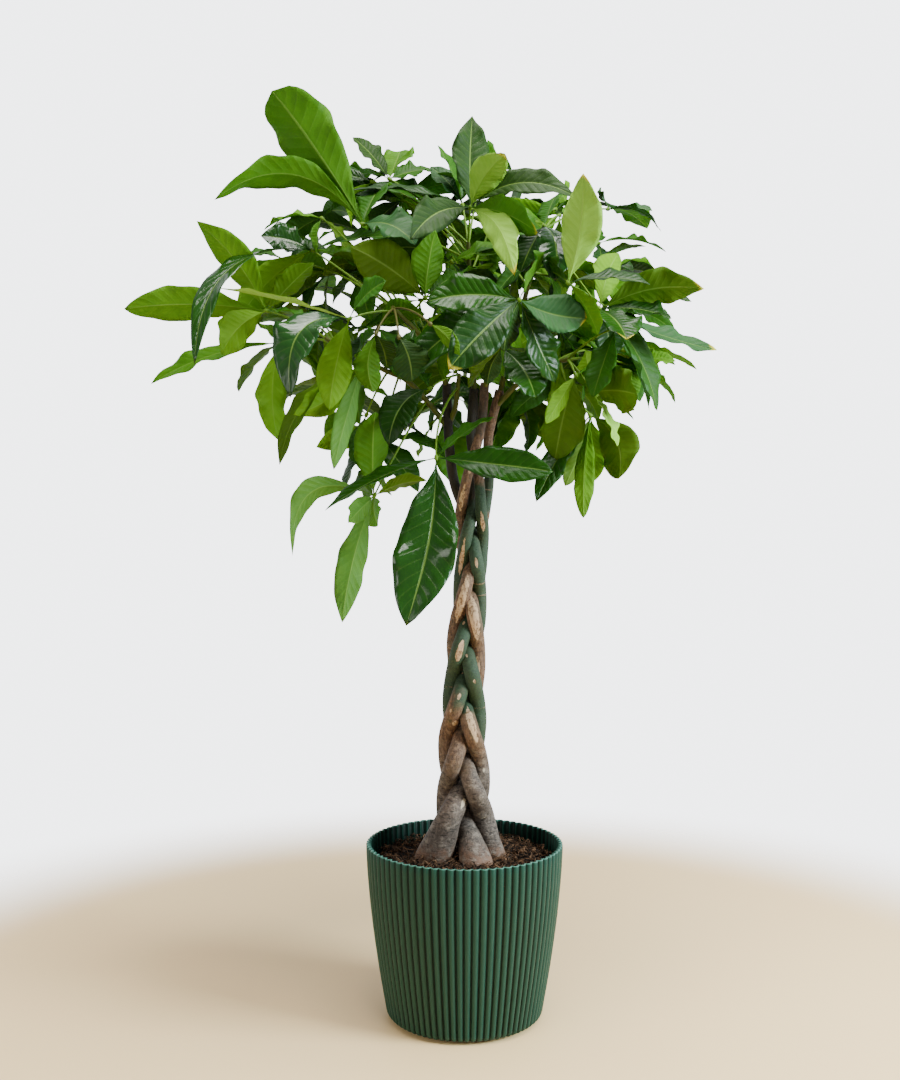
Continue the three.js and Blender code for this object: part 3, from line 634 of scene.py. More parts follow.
bark = Finish("plaited_bark", 0.62, specular=0.35)
spot = bark.place()
level = bark.axis(spot, 2)
fine = bark.noise(spot, 420.0, 4.0, 0.65)
broad = bark.noise(spot, 28.0, 3.0)
flecks = bark.noise(bark.vector("MULTIPLY", spot, (1.0, 1.0, 0.4)), 300.0, 3.0, 0.7)
blotches = bark.noise(spot, 95.0, 4.0, 0.6)
creases = bark.noise(bark.vector("MULTIPLY", spot, (1.0, 1.0, 3.2)), 105.0, 3.0, 0.6)
brown_share, crown_shade_share, scar, ring_share = [
    bark.stored(name) for name in ("brown", "dark", "scar", "ring")]
scarred = bark.step(scar + (flecks - 0.5) * 0.5 + (broad - 0.5) * 0.5, 0.22, 0.34)
old = bark.layers(
    (45, 38, 32),
    (fine * 0.5 + flecks * 0.5, 0.3, 0.72, (110, 98, 87), 1),
    (broad, 0.4, 0.75, (84, 65, 54), 0.5),
    (blotches, 0.5, 0.66, (140, 127, 112), 0.5),
    (creases, 0.48, 0.34, (30, 24, 18), 0.75),
    (level + (blotches - 0.5) * 0.08, 0.268, 0.236, (124, 88, 64), 0.6))
green = bark.layers((26, 44, 29), (fine, 0.25, 0.75, (49, 72, 46), 1),
                    (broad, 0.45, 0.8, (66, 70, 46), 0.5))
brown = bark.layers(
    (64, 43, 29),
    (flecks, 0.3, 0.72, (124, 95, 70), 1),
    (blotches, 0.5, 0.7, (146, 122, 98), 0.3),
    (creases, 0.47, 0.32, (48, 34, 24), 0.5),
    (broad + (fine - 0.5) * 0.5, 0.5, 0.7, (86, 80, 60), 0.5))
# Painted shade: a near-black brown laid on the stems' upper parts by the stored "dark" share, where
# the crown shades them.
painted_crown_shade = bark.mix(fine, colour(18, 16, 9), colour(46, 40, 24))
tan = bark.layers((112, 86, 60), (flecks, 0.36, 0.56, (184, 154, 120), 1))
young = bark.layers(green, (brown_share + (broad - 0.5) * 1.2, 0.35, 0.65, brown, 1),
                    (crown_shade_share + (broad - 0.5) * 0.6, 0.2, 0.8, painted_crown_shade, 1))
young = bark.layers(bark.mix(scarred, young, tan),
                    (ring_share + (fine - 0.5) * 1.2, 0.5, 0.9, (136, 112, 86), 0.7))
aged = bark.layers(old, (level + (broad - 0.5) * 0.1, 0.36, 0.42, young, 1))
on_leg = bark.step(level, 0.42, 0.36)
bark.set("Base Color", bark.mix(scarred * on_leg * 0.75, aged, colour(196, 180, 152)))
bark.set("Roughness", 0.5 + 0.35 * fine)
bark.bump(fine * 0.6 + flecks * 0.3 + creases * 0.8 - scarred * 0.25 + ring_share * 0.4,
          1.8 * MM, 0.9)


def scar_depth(scars, height, turn, steepness, radius):
    """How deep in a scar a place on the bark lies: 0 at the scar's edge, 1 in its middle."""
    depth = -1.0
    for middle, facing, half_length, half_width in scars:
        past = (height - middle) / max(abs(steepness), 0.5) / half_length
        if abs(past) < SCAR_MARGIN:
            swing = (turn - facing + 180) % 360 - 180
            beside = math.radians(swing) * radius / half_width
            depth = max(depth, 1 - math.hypot(past, beside)
                        - SCAR_FULLNESS * abs(past * beside))
    return depth


def mark_bark(stem, line, piece):
    """Stores on each vertex its colour shares and how deep it lies in a scar or a ring."""
    mesh = piece.data
    scars = list(stem["scars"])
    for _ in range(HIDDEN_SCARS):
        scars.append((400 + 400 * next(scar_draw), 80 + 200 * next(scar_draw),
                      8 + 26 * next(scar_draw), 3 + 3 * next(scar_draw)))
    fields = {"brown": [], "dark": [], "scar": [], "ring": []}
    for vertex, station in zip(mesh.vertices, mesh.attributes["station"].data):
        here = min(round(station.value), len(line) - 1)
        place, radius = line[here]
        ahead = line[min(here + 1, len(line) - 1)][0] - line[max(here - 1, 0)][0]
        ahead.normalize()
        front = (Vector((0, -1, 0)) + ahead * ahead.y).normalized()
        offset = vertex.co / MM - place
        turn = math.degrees(math.atan2(offset.dot(front.cross(ahead)), offset.dot(front)))
        fields["scar"].append(scar_depth(scars, place.z, turn, ahead.z, radius))
        fields["ring"].append(max([0.0] + [1 - abs(place.z + offset.z * 0.4 - height) / RING_REACH
                                           for height in stem["rings"]]))
        fields["brown"].append(along(stem["brown"], place.z))
        fields["dark"].append(along(stem["dark"], place.z))
    for name, values in fields.items():
        mesh.attributes.new(name, "FLOAT", "POINT").data.foreach_set("value", values)


def drawer(seed):
    """Seeded numbers from 0 to 1, the same on every run."""
    state = seed
    while True:
        state = state * 16807 % 2147483647
        yield state / 2147483647


scar_draw = drawer(SCAR_SEED)
for stem in STEMS:
    line = stem_line(stem)
    piece = rods(stem["name"] + "_trunk", [line], TRUNK_SIDES, bark, TRUNK_WRINKLE,
                 TRUNK_WRINKLE_SCALE)
    mark_bark(stem, line, piece)
    settle(piece, "bark", stem["name"])


# Leafy shoots. Eight green side shoots with long petioles, each ending in a hand of four
# to seven leaflets on short stalks. A leaflet is a thin waxy blade, widest past its middle,
# folded at a pale midrib, glossy above and matt and pale below. All grew as one piece.
EYE = Vector((-22, -1800, 745))
PETIOLE_RADIUS = 1.9
PETIOLE_TAPER = 0.6
PETIOLE_RISE = 0.12
PETIOLE_STEPS = 14
PETIOLE_SIDES = 9
PETIOLE_WOODY = 0.1
KNUCKLE_RADIUS = 3.1
KNUCKLE = [(-6, PETIOLE_RADIUS - PETIOLE_TAPER), (-2.5, KNUCKLE_RADIUS), (1.5, KNUCKLE_RADIUS),
           (4, KNUCKLE_RADIUS * 0.5)]
SHOOT_RADIUS = 4.6
SHOOT_TAPER = 0.35
SHOOT_REACH = 0.98
SHOOT_STEPS = 10
SHOOT_SIDES = 12
SHOOT_WOODY = 0.7
SHOOT_WRINKLE = 0.6
SHOOT_WRINKLE_SCALE = 120.0
BLADE_SIZES = {"Thickness": 0.22 * MM, "Stalk": 0.95 * MM, "Fold": 0.2, "Groove": 0.9 * MM}
DRAWN_GRID = (27, 11)
OTHER_GRID = (21, 7)
OTHER_WAVE = 0.65
FULLER = 1.08
SPREAD_ARC = 280
HANGING_ARC = 250
CROWN_SEED = 4211
TASTE_SEED = 77
WIDE_BLADE = 54
CLEAR_SWINGS = [
    (0, 0), (-0.08, 0), (0.08, 0), (0, -0.08), (0, 0.08), (-0.16, 0), (0.16, 0), (-0.12, -0.12),
    (0.12, -0.12), (-0.12, 0.12), (0.12, 0.12), (-0.26, 0), (0.26, 0), (-0.2, -0.2), (0.2, -0.2),
    (-0.4, 0), (0.4, 0), (-0.3, 0.25), (0.3, 0.25), (-0.55, -0.1), (0.55, -0.1)]
CLEAR_LENGTHS = (1, 0.8, 0.6)

# Each tone is (share from dark to pale, share from blue to olive, gloss). The shares are partly
# a leaflet's own colour and partly painted light: "bright" paints backlight through thin
# leaflets, "pale" paints glare and lit undersides, and "blue" paints a bluish sheen.
TONES = {
    "deep": (0.0, 0.0, 0.5), "dull": (0.0, 0.2, 0.1), "glossy": (0.12, -0.3, 1.0),
    "dark": (0.2, 0.0, 0.7), "blue": (0.36, -1.0, 0.25), "mid": (0.45, 0.0, 0.2),
    "olive": (0.45, 0.8, 0.1), "fresh": (0.6, 0.2, 0.2), "bright": (0.76, 0.3, 0.1),
    "misty": (0.72, -0.8, 0.1), "pale": (1.0, -0.1, 0.0)}
HIDDEN_TONES = ("dark", "mid", "mid", "olive", "fresh", "bright", "deep")
YELLOW_TIP = "yellow tip"
BLUNT = "blunt"
POINTED = "pointed"
TIP_POWERS = {BLUNT: 0.5, POINTED: 1.15}
FREE = "free"


def hand(hub, at, *blades, **more):
    """A leaf whose leaflets are drawn one by one."""
    return {"hub": hub, "at": at, "blades": blades, **more}


def spread(hub, at, count, reach, **more):
    """A leaf with a count of leaflets fanned out round its hub by a rule."""
    return {"hub": hub, "at": at, "spread": count, "reach": reach, **more}


def hanging(hub, at, count, reach, **more):
    """A small leaf that hangs inside the crown. The solids leave it out."""
    return {"hub": hub, "at": at, "hanging": count, "reach": reach, **more}


# Each shoot is its line and its leaves, drawn as they look from EYE. A point is (across, up,
# back). "at" is how far along the shoot a petiole starts, "via" a point that it bends towards
# and "woody" how brown it has grown. A leaflet is (across, up, back, width, face, arch, tone,
# marks): its tip, its width, the turn of its upper side away from the front and its arch. A
# FREE leaflet hangs otherwise than in the solids. "shown" is the share of its length at which
# a spread leaf is drawn.
SHOOTS = {
    "shoot_1": ([[-27, 958, 8], [-40, 1000, -20], [-75, 1045, -80], [-110, 1080, -130]], [
        hand([-135, 1040, -190], 1, [-165, 1002, -120, 40, 60, 5, "mid"],
             [-139, 949, -175, 36, 150, 6, "mid"], [-118, 985, -120, 45, 140, 5, "deep"],
             woody=0.8),
        hand([-100, 1034, -205], 1, [-80, 966, -210, 50, 160, 6, "deep"],
             [-52, 996, -150, 45, 60, 6, "dark"], [-75, 1005, -110, 45, 100, 5, "dark"], woody=0.8),
        hand([-52, 1054, -225], 1, [-6, 1005, -255, 20, 160, 4, "fresh"],
             [-30, 1088, -160, 30, 100, 4, "mid"], woody=0.8),
        hand([-60, 1094, -120], 0.8, [-44, 1198, -150, 48, 160, 8, "mid"],
             [-174, 1172, -90, 64, 155, 8, "olive"], [24, 1140, -90, 50, 55, 6, "mid"],
             [-80, 1160, 20, 50, 90, 10, "mid"]),
        hand([-176, 1062, -150], 0.95, [-266, 941, -230, 60, 15, 45, "glossy"],
             [-378, 1109, -175, 45, 84, 4, "pale"], [-207, 921, -150, 46, 160, 8, "bright"],
             [-120, 1120, -200, 45, 60, 8, "mid"]),
        hand([-233, 1167, -20], 0.9, [-312, 1189, -50, 50, 35, 6, "glossy"],
             [-413, 992, -230, 38, 45, 60, "glossy", FREE], [-350, 1053, 0, 50, 150, 14, "bright"],
             [-90, 1186, -50, 45, 60, 8, "mid"], [-144, 1145, 30, 45, 50, 5, "fresh"],
             via=[-175, 1130, -60]),
        spread([-100, 1110, 60], 0.4, 5, 150),
        spread([-150, 1190, 150], 0.6, 6, 175),
        spread([-230, 1110, 190], 0.5, 5, 165),
        hanging([-132, 1048, -100], 1.0, 4, 75, woody=0.9),
        hanging([-206, 1134, 40], 0.9, 6, 110),
        hanging([-141, 1140, 0], 0.8, 5, 80),
        hanging([-271, 1150, 60], 0.9, 6, 85),
        hanging([-218, 1216, 0], 0.9, 5, 85)]),
    "shoot_2": ([[-22, 890, 14], [-52, 930, 0], [-90, 969, -20], [-119, 982, -32], [-147, 996, -40],
        [-191, 1018, -48], [-213, 1033, -50]], [
        hand([-303, 1074, -80], 1, [-511, 1071, -60, 50, 140, 10, "fresh"],
             [-410, 1212, -110, 50, 155, 6, "fresh"], [-230, 1148, -100, 45, 130, 5, "olive"],
             [-243, 1063, -130, 35, 60, 4, "mid"], [-372, 1008, -130, 50, 150, 8, "bright"],
             [-350, 1040, 60, 48, 100, 10, "olive"]),
        hand([-282, 1025, 0], 0.95, [-480, 962, -10, 42, 48, 20, "fresh"],
             [-320, 1058, 60, 40, 60, 5, "bright"], [-286, 877, -20, 45, 155, 8, "bright"],
             [-345, 950, 90, 45, 100, 12, "mid"], [-205, 960, 70, 45, 100, 10, "mid"]),
        hand([-154, 995, -90], 0.65, [-262, 915, -130, 48, 145, -6, "bright"],
             [-283, 838, -110, 34, 50, 30, "olive"], [-200, 831, -150, 30, 150, 14, "misty", FREE],
             [-160, 900, 0, 42, 120, 8, "mid"]),
        hand([-138, 791, -60], 0.2, [-136, 920, -110, 52, 150, 10, "mid"],
             [-263, 699, -110, 40, 140, 60, "misty"],
             [-178, 750, -130, 30, 150, 4, "misty", POINTED],
             [-187, 597, -90, 42, 150, 10, "misty"], [-132, 745, -10, 38, 130, 4, "mid"],
             [-57, 814, -30, 34, 130, 6, "olive"], [-167, 815, 20, 42, 150, 5, "mid"],
             via=[-100, 870, -40]),
        spread([-260, 1060, 150], 0.9, 5, 170),
        spread([-190, 950, 170], 0.6, 5, 165),
        hanging([-215, 1050, 40], 0.9, 4, 80),
        hanging([-150, 915, 20], 0.5, 5, 95),
        hanging([-126, 877, 30], 0.4, 5, 105)]),
    "shoot_3": ([[15, 950, 6], [10, 1040, 0], [8, 1120, -15], [6, 1180, -30]], [
        hand([9, 1232, -60], 1, [12, 1373, -40, 56, 20, 6, "dull", POINTED],
             [60, 1320, -150, 44, 165, 5, "pale", YELLOW_TIP],
             [170, 1249, -130, 46, 20, 32, "dull", FREE],
             [77, 1128, -180, 40, 160, 15, "pale", YELLOW_TIP],
             [112, 1194, -170, 50, 130, 8, "mid", YELLOW_TIP],
             [-83, 1183, -140, 50, 10, 12, "dull"]),
        hand([-3, 1237, 20], 0.95, [-41, 1328, 20, 45, 78, 8, "mid"],
             [-174, 1258, -30, 45, 60, 14, "deep"], [-52, 1295, 60, 42, 40, 5, "blue"],
             [-66, 1244, 90, 36, 80, 4, "mid"], [139, 1175, 40, 46, 40, 10, "mid"]),
        hand([-156, 1207, -70], 0.85, [-295, 1411, -110, 84, 165, 15, "mid", BLUNT],
             [-383, 1244, -120, 54, 140, 66, "mid"], [-122, 1267, 10, 50, 40, 10, "mid"],
             [-75, 1175, -120, 62, 30, 12, "blue"]),
        hand([-115, 1276, 40], 0.95, [-171, 1340, 30, 42, 45, 5, "dull"],
             [-98, 1319, 150, 55, 30, 5, "fresh"], [-47, 1290, 60, 45, 40, 5, "mid"],
             [-190, 1270, 150, 48, 90, 14, "mid"]),
        spread([-81, 1232, 130], 0.8, 5, 150),
        spread([30, 1290, 130], 1, 6, 165, shown=0.4),
        spread([-25, 1165, 70], 0.6, 5, 150),
        spread([60, 1220, 220], 0.7, 5, 170),
        hanging([-34, 1229, 60], 0.8, 6, 115),
        hanging([-95, 1244, 90], 0.9, 6, 115),
        hanging([-19, 1149, -40], 0.6, 6, 110),
        hanging([42, 1198, 50], 0.7, 6, 110),
        hanging([-141, 1272, 60], 1.0, 5, 100)]),
    "shoot_4": ([[54, 948, 2], [78, 1040, -20], [102, 1130, -40], [116, 1198, -58]], [
        hand([122, 1204, -80], 1, [139, 1120, -140, 55, 20, 20, "glossy"],
             [86, 1134, -110, 50, 30, 8, "deep"], [139, 1250, -10, 40, 60, 4, "mid"]),
        hand([159, 1117, -190], 0.8, [182, 1285, -240, 54, 165, 5, "pale", YELLOW_TIP],
             [155, 1236, -120, 40, 60, 4, "fresh"], [205, 1037, -200, 40, 110, 6, "fresh"],
             [285, 1114, -220, 46, 60, 8, "deep"], [124, 1137, -120, 50, 100, 5, "dark"]),
        hand([207, 1077, -100], 1, [367, 1108, -130, 54, 150, 8, "olive", YELLOW_TIP],
             [317, 1062, -140, 50, 45, 5, "deep"], [387, 1014, -80, 38, 60, -8, "blue", YELLOW_TIP],
             [254, 1008, -170, 62, 20, 5, "dark", YELLOW_TIP], [226, 1005, -120, 50, 30, 4, "deep"],
             [295, 921, -60, 50, 40, 10, "mid"], [236, 1163, -40, 45, 150, 4, "bright"],
             via=[165, 1140, -85]),
        hand([220, 1230, 60], 1, [288, 1227, 30, 30, 72, 5, "blue"],
             [301, 1195, -10, 28, 80, 15, "dark"], [205, 1248, 100, 40, 60, 5, "deep", FREE],
             [280, 1200, 150, 45, 90, 10, "mid"]),
        hand([205, 1178, 0], 0.95, [309, 1164, -10, 46, 70, 12, "mid"],
             [208, 1125, -10, 45, 40, 3, "deep"], [190, 1215, 60, 42, 60, 3, "mid"]),
        spread([70, 1110, 80], 0.3, 5, 150),
        spread([150, 1060, 60], 0.5, 5, 150),
        spread([215, 1130, 190], 0.8, 6, 170, shown=0.75),
        spread([140, 1230, 190], 0.9, 5, 160, shown=0.7),
        hanging([62, 1149, 40], 0.6, 6, 115),
        hanging([123, 1149, -30], 0.8, 6, 110),
        hanging([192, 1137, 50], 0.9, 6, 115),
        hanging([226, 1073, 30], 0.7, 6, 110),
        hanging([146, 1221, 90], 0.9, 5, 110)]),
    "shoot_5": ([[31, 956, -18], [44, 1000, -60], [62, 1040, -110], [75, 1065, -150]], [
        hand([84, 1091, -200], 1, [-58, 1088, -210, 55, 8, 12, "dark"],
             [188, 1063, -190, 56, 25, -5, "blue", YELLOW_TIP],
             [-24, 984, -250, 60, 8, 12, "deep", YELLOW_TIP],
             [-101, 1004, -170, 56, 35, 12, "dark"], [60, 1012, -190, 42, 150, 5, "deep"],
             [124, 1150, -120, 50, 100, 5, "mid"], [139, 964, -150, 52, 30, 5, "dark"]),
        hand([58, 1018, -130], 0.6, [109, 941, -170, 62, 15, 5, "dark"],
             [6, 956, -120, 42, 100, 5, "olive"], [35, 961, -100, 30, 170, 4, "deep"],
             [124, 992, -60, 46, 90, 6, "dark"]),
        hanging([21, 1073, -60], 0.8, 6, 105),
        hanging([146, 1045, 20], 1.0, 6, 110)]),
    "shoot_6": ([[48, 928, 4], [85, 965, -20], [125, 990, -50], [160, 1000, -75]], [
        hand([170, 976, -110], 1, [138, 845, -110, 64, 150, 8, "olive"],
             [124, 901, -160, 26, 150, 4, "bright"], [230, 985, -40, 44, 100, 8, "mid"]),
        hand([193, 914, -60], 0.9, [154, 806, -90, 38, 150, 5, "olive"],
             [110, 782, -140, 38, 40, 10, "dark"], [182, 757, -160, 28, 150, 5, "fresh"],
             [196, 812, -40, 36, 140, 4, "fresh"], [236, 817, -90, 58, 150, 20, "olive"],
             via=[150, 960, -90]),
        hand([196, 949, -120], 1, [265, 946, -180, 64, 150, 4, "olive"],
             [185, 1014, -60, 42, 160, 4, "bright"], [226, 985, -60, 42, 160, 4, "bright"],
             [234, 866, -150, 30, 60, 5, "pale"]),
        hand([231, 1048, -150], 1, [196, 941, -170, 40, 40, 4, "mid"],
             [283, 921, -150, 36, 80, 6, "blue"]),
        hand([78, 975, 70], 0.3, [44, 863, 80, 60, 20, 8, "fresh"],
             [120, 880, 110, 50, 60, 10, "mid"], [30, 900, 160, 50, 90, 10, "mid"]),
        spread([230, 1000, 120], 0.8, 5, 170),
        spread([150, 950, 200], 0.5, 5, 165),
        hanging([207, 1014, 30], 0.8, 6, 110),
        hanging([149, 966, 40], 0.6, 5, 105),
        hanging([255, 990, 20], 0.9, 5, 80),
        hanging([85, 946, 60], 0.5, 5, 95)]),
    "shoot_7": ([[15, 946, 30], [12, 1020, 80], [5, 1090, 130], [0, 1140, 160]], [
        spread([-80, 1130, 280], 0.9, 6, 180),
        spread([75, 1150, 290], 1, 6, 175),
        spread([0, 1040, 320], 0.7, 5, 180),
        spread([-120, 1010, 250], 0.5, 5, 165),
        spread([110, 1000, 260], 0.6, 5, 165),
        spread([-10, 940, 200], 0.25, 5, 160),
        hanging([-14, 981, 90], 0.2, 6, 105),
        hanging([-68, 1091, 190], 0.6, 6, 130),
        hanging([85, 1091, 200], 0.7, 6, 130),
        hanging([9, 1183, 230], 0.9, 6, 135),
        hanging([-160, 1045, 180], 0.5, 6, 125),
        hanging([162, 1030, 190], 0.5, 6, 125)]),
    "shoot_8": ([[-22, 905, 12], [-14, 926, -4], [-11, 952, -16], [-8, 978, -26]], [
        hand([-43, 849, -110], 0.75, [-89, 592, -190, 80, 10, 10, "glossy"],
             [136, 828, -140, 50, 30, 10, "dark"], [-214, 768, -150, 45, 65, 12, "dark"],
             [47, 912, -90, 40, 65, 6, "mid"], [-28, 707, -70, 32, 75, 5, "fresh"],
             via=[-47, 915, -80]),
        hand([-54, 955, -60], 1, [-116, 868, -110, 50, 20, 25, "deep"],
             [-90, 1000, -20, 40, 70, 5, "mid"]),
        hand([-29, 923, 80], 0.2, [-9, 805, 90, 60, 20, 5, "fresh"],
             [-70, 850, 110, 48, 80, 10, "fresh"]),
        hanging([-50, 930, 50], 0.6, 4, 75)]),
}


def seen(point):
    """A drawn point (across, up, back) at its real place."""
    across, up, back = point
    scale = (back - EYE.y) / -EYE.y
    return Vector((EYE.x + (across - EYE.x) * scale, back, EYE.z + (up - EYE.z) * scale))


def hidden_tone():
    return HIDDEN_TONES[int(next(taste) * len(HIDDEN_TONES))]


def spread_blades(leaf, hub, start):
    """Leaflets fanned out across the petiole, drooping."""
    run = (hub - start).normalized()
    across = run.cross(Vector((0, 0, 1))).normalized()
    up = across.cross(run)
    blades = []
    for i in range(leaf["spread"]):
        turn = math.radians(-SPREAD_ARC / 2 + SPREAD_ARC * (i + 0.5) / leaf["spread"]
                            + 16 * (next(draw) - 0.5))
        reach = leaf["reach"] * (0.78 + 0.22 * math.cos(turn) + 0.12 * (next(draw) - 0.5))
        droop = reach * (0.15 + 0.25 * next(draw))
        tip = hub + run * reach * (0.75 * math.cos(turn) + 0.2) \
            + across * reach * 0.85 * math.sin(turn) + up * reach * 0.12 - Vector((0, 0, droop))
        tone = hidden_tone()
        blades.append((tip, reach * 0.3, 75 + 40 * next(draw), reach * 0.12, tone))
    return blades


def hanging_blades(leaf, hub):
    """Leaflets fanned out and down from the end of the petiole, turned all ways."""
    blades = []
    for i in range(leaf["hanging"]):
        turn = math.radians(-HANGING_ARC / 2
                            + HANGING_ARC * (i + next(taste)) / leaf["hanging"])
        reach = leaf["reach"] * (0.8 + 0.35 * next(taste))
        back = (next(taste) - 0.5) * 1.1
        out = Vector((math.sin(turn), back, -0.25 - math.cos(turn) * 0.9)).normalized()
        tone = hidden_tone()
        blades.append((hub + out * reach, 36 + 14 * next(taste), 20 + 130 * next(taste),
                       reach * 0.12, tone))
    return blades


def settled_tip(hub, tip, corners):
    """The tip that the solid leaflet has, after it swung clear of its neighbours."""
    reach = tip - hub
    best = None
    for share in CLEAR_LENGTHS:
        for back, rise in CLEAR_SWINGS:
            swung = reach + Vector((0, back, rise)) * reach.length
            swung = hub + swung.normalized() * reach.length * share
            _, _, gap = corners.find(swung * MM)
            if best is None or gap < best[0] - 0.5 * MM:
                best = (gap, swung, share)
    return best[1], best[2]


def blade_frame(hub, tip, face):
    """The leaflet's upward normal and the way it arches."""
    run = (tip - hub).normalized()
    to_viewer = (Vector((0, -1, 0)) + run * run.y).normalized()
    lift = run.cross(to_viewer).normalized()
    outward = Vector((hub.x, hub.y, 0)).normalized() * 0.4 + Vector((0, 0, 1))
    if lift.dot(outward) < 0:
        lift.negate()
    turn = math.radians(face)
    normal = to_viewer * math.cos(turn) + lift * math.sin(turn)
    return normal, (outward - run * outward.dot(run)).normalized()


# A leaflet grows from a flat block, one for each point of the source. "u" runs along it from
# stalk to tip, "v" across it from edge to edge, and "skin" is +1 above and -1 below.
STALK_END = 0.055
BASE_POWER = 1.15
blade = Recipe("leaflets", Stations=int, Across=int, Thickness=float, Stalk=float, Fold=float,
               Groove=float)
block = blade.node("GeometryNodeMeshCube", {
    "Size": (1.0, 2.0, 2.0), "Vertices X": blade.size["Stations"],
    "Vertices Y": blade.size["Across"], "Vertices Z": 2})
place = blade.position()
along_x, along_y, along_z = [blade.axis(place, which) for which in range(3)]
block = blade.store(block, "u", along_x + 0.5)
block = blade.store(block, "v", blade.math("SIGN", along_y)
                    * blade.math("ABSOLUTE", along_y) ** 1.25)
block = blade.store(block, "skin", along_z)
grown = blade.realized(blade.node("GeometryNodeInstanceOnPoints", {
    "Points": blade.source, "Instance": block}))
u, v, skin, half, wave, phase, twist, sway, tip_power = [
    blade.field(name)
    for name in ("u", "v", "skin", "half", "wave", "phase", "twist", "sway", "tip_power")]
hub, run, normal, bulge = [
    blade.field(name, "FLOAT_VECTOR") for name in ("hub", "run", "normal", "bulge")]
side = blade.vector("NORMALIZE", blade.vector("CROSS_PRODUCT", normal, run))
body = blade.math("MAXIMUM", (u - STALK_END) / (1 - STALK_END), 0.0)
outline = body ** BASE_POWER * blade.math("MAXIMUM", 1.0 - body, 0.0) ** tip_power
breadth = blade.math("MAXIMUM", outline * half, blade.size["Stalk"] * (1.0 - u))
edge = blade.math("ABSOLUTE", v)
ripple = blade.math("SINE", u * 19.0 + phase + blade.math("SIGN", v) * 0.9) \
    + 0.6 * blade.math("SINE", u * 33.0 + phase * 2.3 + v * 2.0)
rise = breadth * (edge * blade.size["Fold"] + edge * edge * ripple * wave)
groove = blade.math("EXPONENT", edge * edge * -60.0) * blade.size["Groove"] \
    * blade.step(u, 0.03, 0.15) * (1.0 - u)
thick = blade.size["Thickness"] * (1.0 - 0.6 * edge ** 4.0) + blade.size["Stalk"] * 0.5 * (
    1.0 - blade.step(u, 0.02, 0.09))
rise = rise - groove * (skin * 0.5 + 0.5) - groove * 0.8 * (0.5 - skin * 0.5) \
    + skin * thick * blade.math("MINIMUM", (1.0 - u) * 12.0, 1.0)
roll = twist * (u - 0.25)
turned_side = blade.vector("SUBTRACT", blade.scaled(side, blade.math("COSINE", roll)),
                           blade.scaled(normal, blade.math("SINE", roll) * -1.0))
turned_face = blade.vector("SUBTRACT", blade.scaled(normal, blade.math("COSINE", roll)),
                           blade.scaled(side, blade.math("SINE", roll)))
grown = blade.node("GeometryNodeSetPosition", {"Geometry": grown, "Position": blade.total(
    hub, blade.scaled(run, u), blade.scaled(bulge, u * (1.0 - u) * 4.0),
    blade.scaled(side, blade.math("SINE", u * math.pi) * sway),
    blade.scaled(turned_side, v * breadth), blade.scaled(turned_face, rise))})
blade.finish(blade.merged(grown, 0.01 * MM))

SIDE_VEINS = 13.0
# The pale end of both ramps is partly painted light: backlight and glare on the "bright" and "pale"
# leaflets.
UPPER_STOPS = [(0.0, (16, 51, 2)), (0.25, (24, 65, 2)), (0.5, (42, 90, 2)), (0.75, (84, 136, 4)),
               (1.0, (136, 184, 60))]
UNDER_STOPS = [(0.0, (28, 58, 8)), (0.25, (40, 81, 8)), (0.5, (68, 113, 8)),
               (0.75, (103, 150, 12)), (1.0, (136, 184, 64))]
wax = Finish("waxy_leaf", 0.3, specular=0.16)
wax.surface.inputs["Coat Roughness"].default_value = 0.13
u, v, skin, tone, warmth, gloss, tint, seed = [
    wax.stored(name) for name in ("u", "v", "skin", "tone", "warmth", "gloss", "tint", "seed")]
spot = wax.place()
upper = wax.step(skin, -0.2, 0.2)
cloud = wax.noise(spot, 45.0, 3.0)
edge = wax.math("ABSOLUTE", v)
vein_run = wax.math("FRACT", (u - edge * 0.13 + seed) * SIDE_VEINS)
vein_gap = wax.math("ABSOLUTE", vein_run - 0.5) * 2.0
side_vein = wax.step(vein_gap, 0.8, 0.98) * wax.step(edge, 1.0, 0.75)
midrib = wax.step(edge, 0.055, 0.02)
shown = tone + (cloud - 0.5) * 0.22
under_flesh, upper_flesh = [
    wax.node("ShaderNodeValToRGB", {"Fac": shown},
             stops=[(position, colour(*shade)) for position, shade in stops])
    for stops in (UNDER_STOPS, UPPER_STOPS)]
# Warmth above 0 mixes in olive. Below 0 it mixes in a bluish green, partly a painted sheen on the
# "blue" leaflets.
flesh = wax.layers(wax.mix(upper, under_flesh, upper_flesh),
                   (warmth, 0.0, 1.0, (84, 96, 6), 0.5), (warmth, 0.0, -1.0, (58, 96, 62), 0.5))
pale_vein = wax.mix(0.35, flesh, colour(160, 196, 90))
flesh = wax.mix(midrib * 0.8 + side_vein * 0.11, flesh, pale_vein)
wax.set("Base Color", wax.layers(
    flesh, (u + edge * 0.04 + cloud * 0.12, 1.0, 1.05, (190, 180, 50), tint)))
wax.set("Roughness", 0.62 - 0.42 * upper * gloss + 0.1 * (cloud - 0.5))
wax.set("Coat Weight", upper * wax.step(gloss, 0.5, 1.2) * cloud)
quilting = (1.0 - vein_gap) ** 0.6 * wax.step(edge, 0.0, 0.3)
relief = quilting * 0.9 - midrib * 0.8 + wax.noise(spot, 110.0, 3.0) * 0.8
wax.bump(relief * (upper * 2.0 - 1.0) * (1.0 + 0.6 * gloss), 1.4 * MM, 0.5)
through = wax.node("ShaderNodeBsdfTranslucent", {"Color": colour(110, 190, 8)})
see_through = (tone * 0.3 + 0.08) * wax.step(tone, 1.05, 0.8)
both = wax.node("ShaderNodeMixShader", {
    0: see_through, 1: Wire(wax, wax.surface.outputs[0]), 2: through})
wax.tree.links.new(both.socket, wax.tree.nodes["Material Output"].inputs["Surface"])

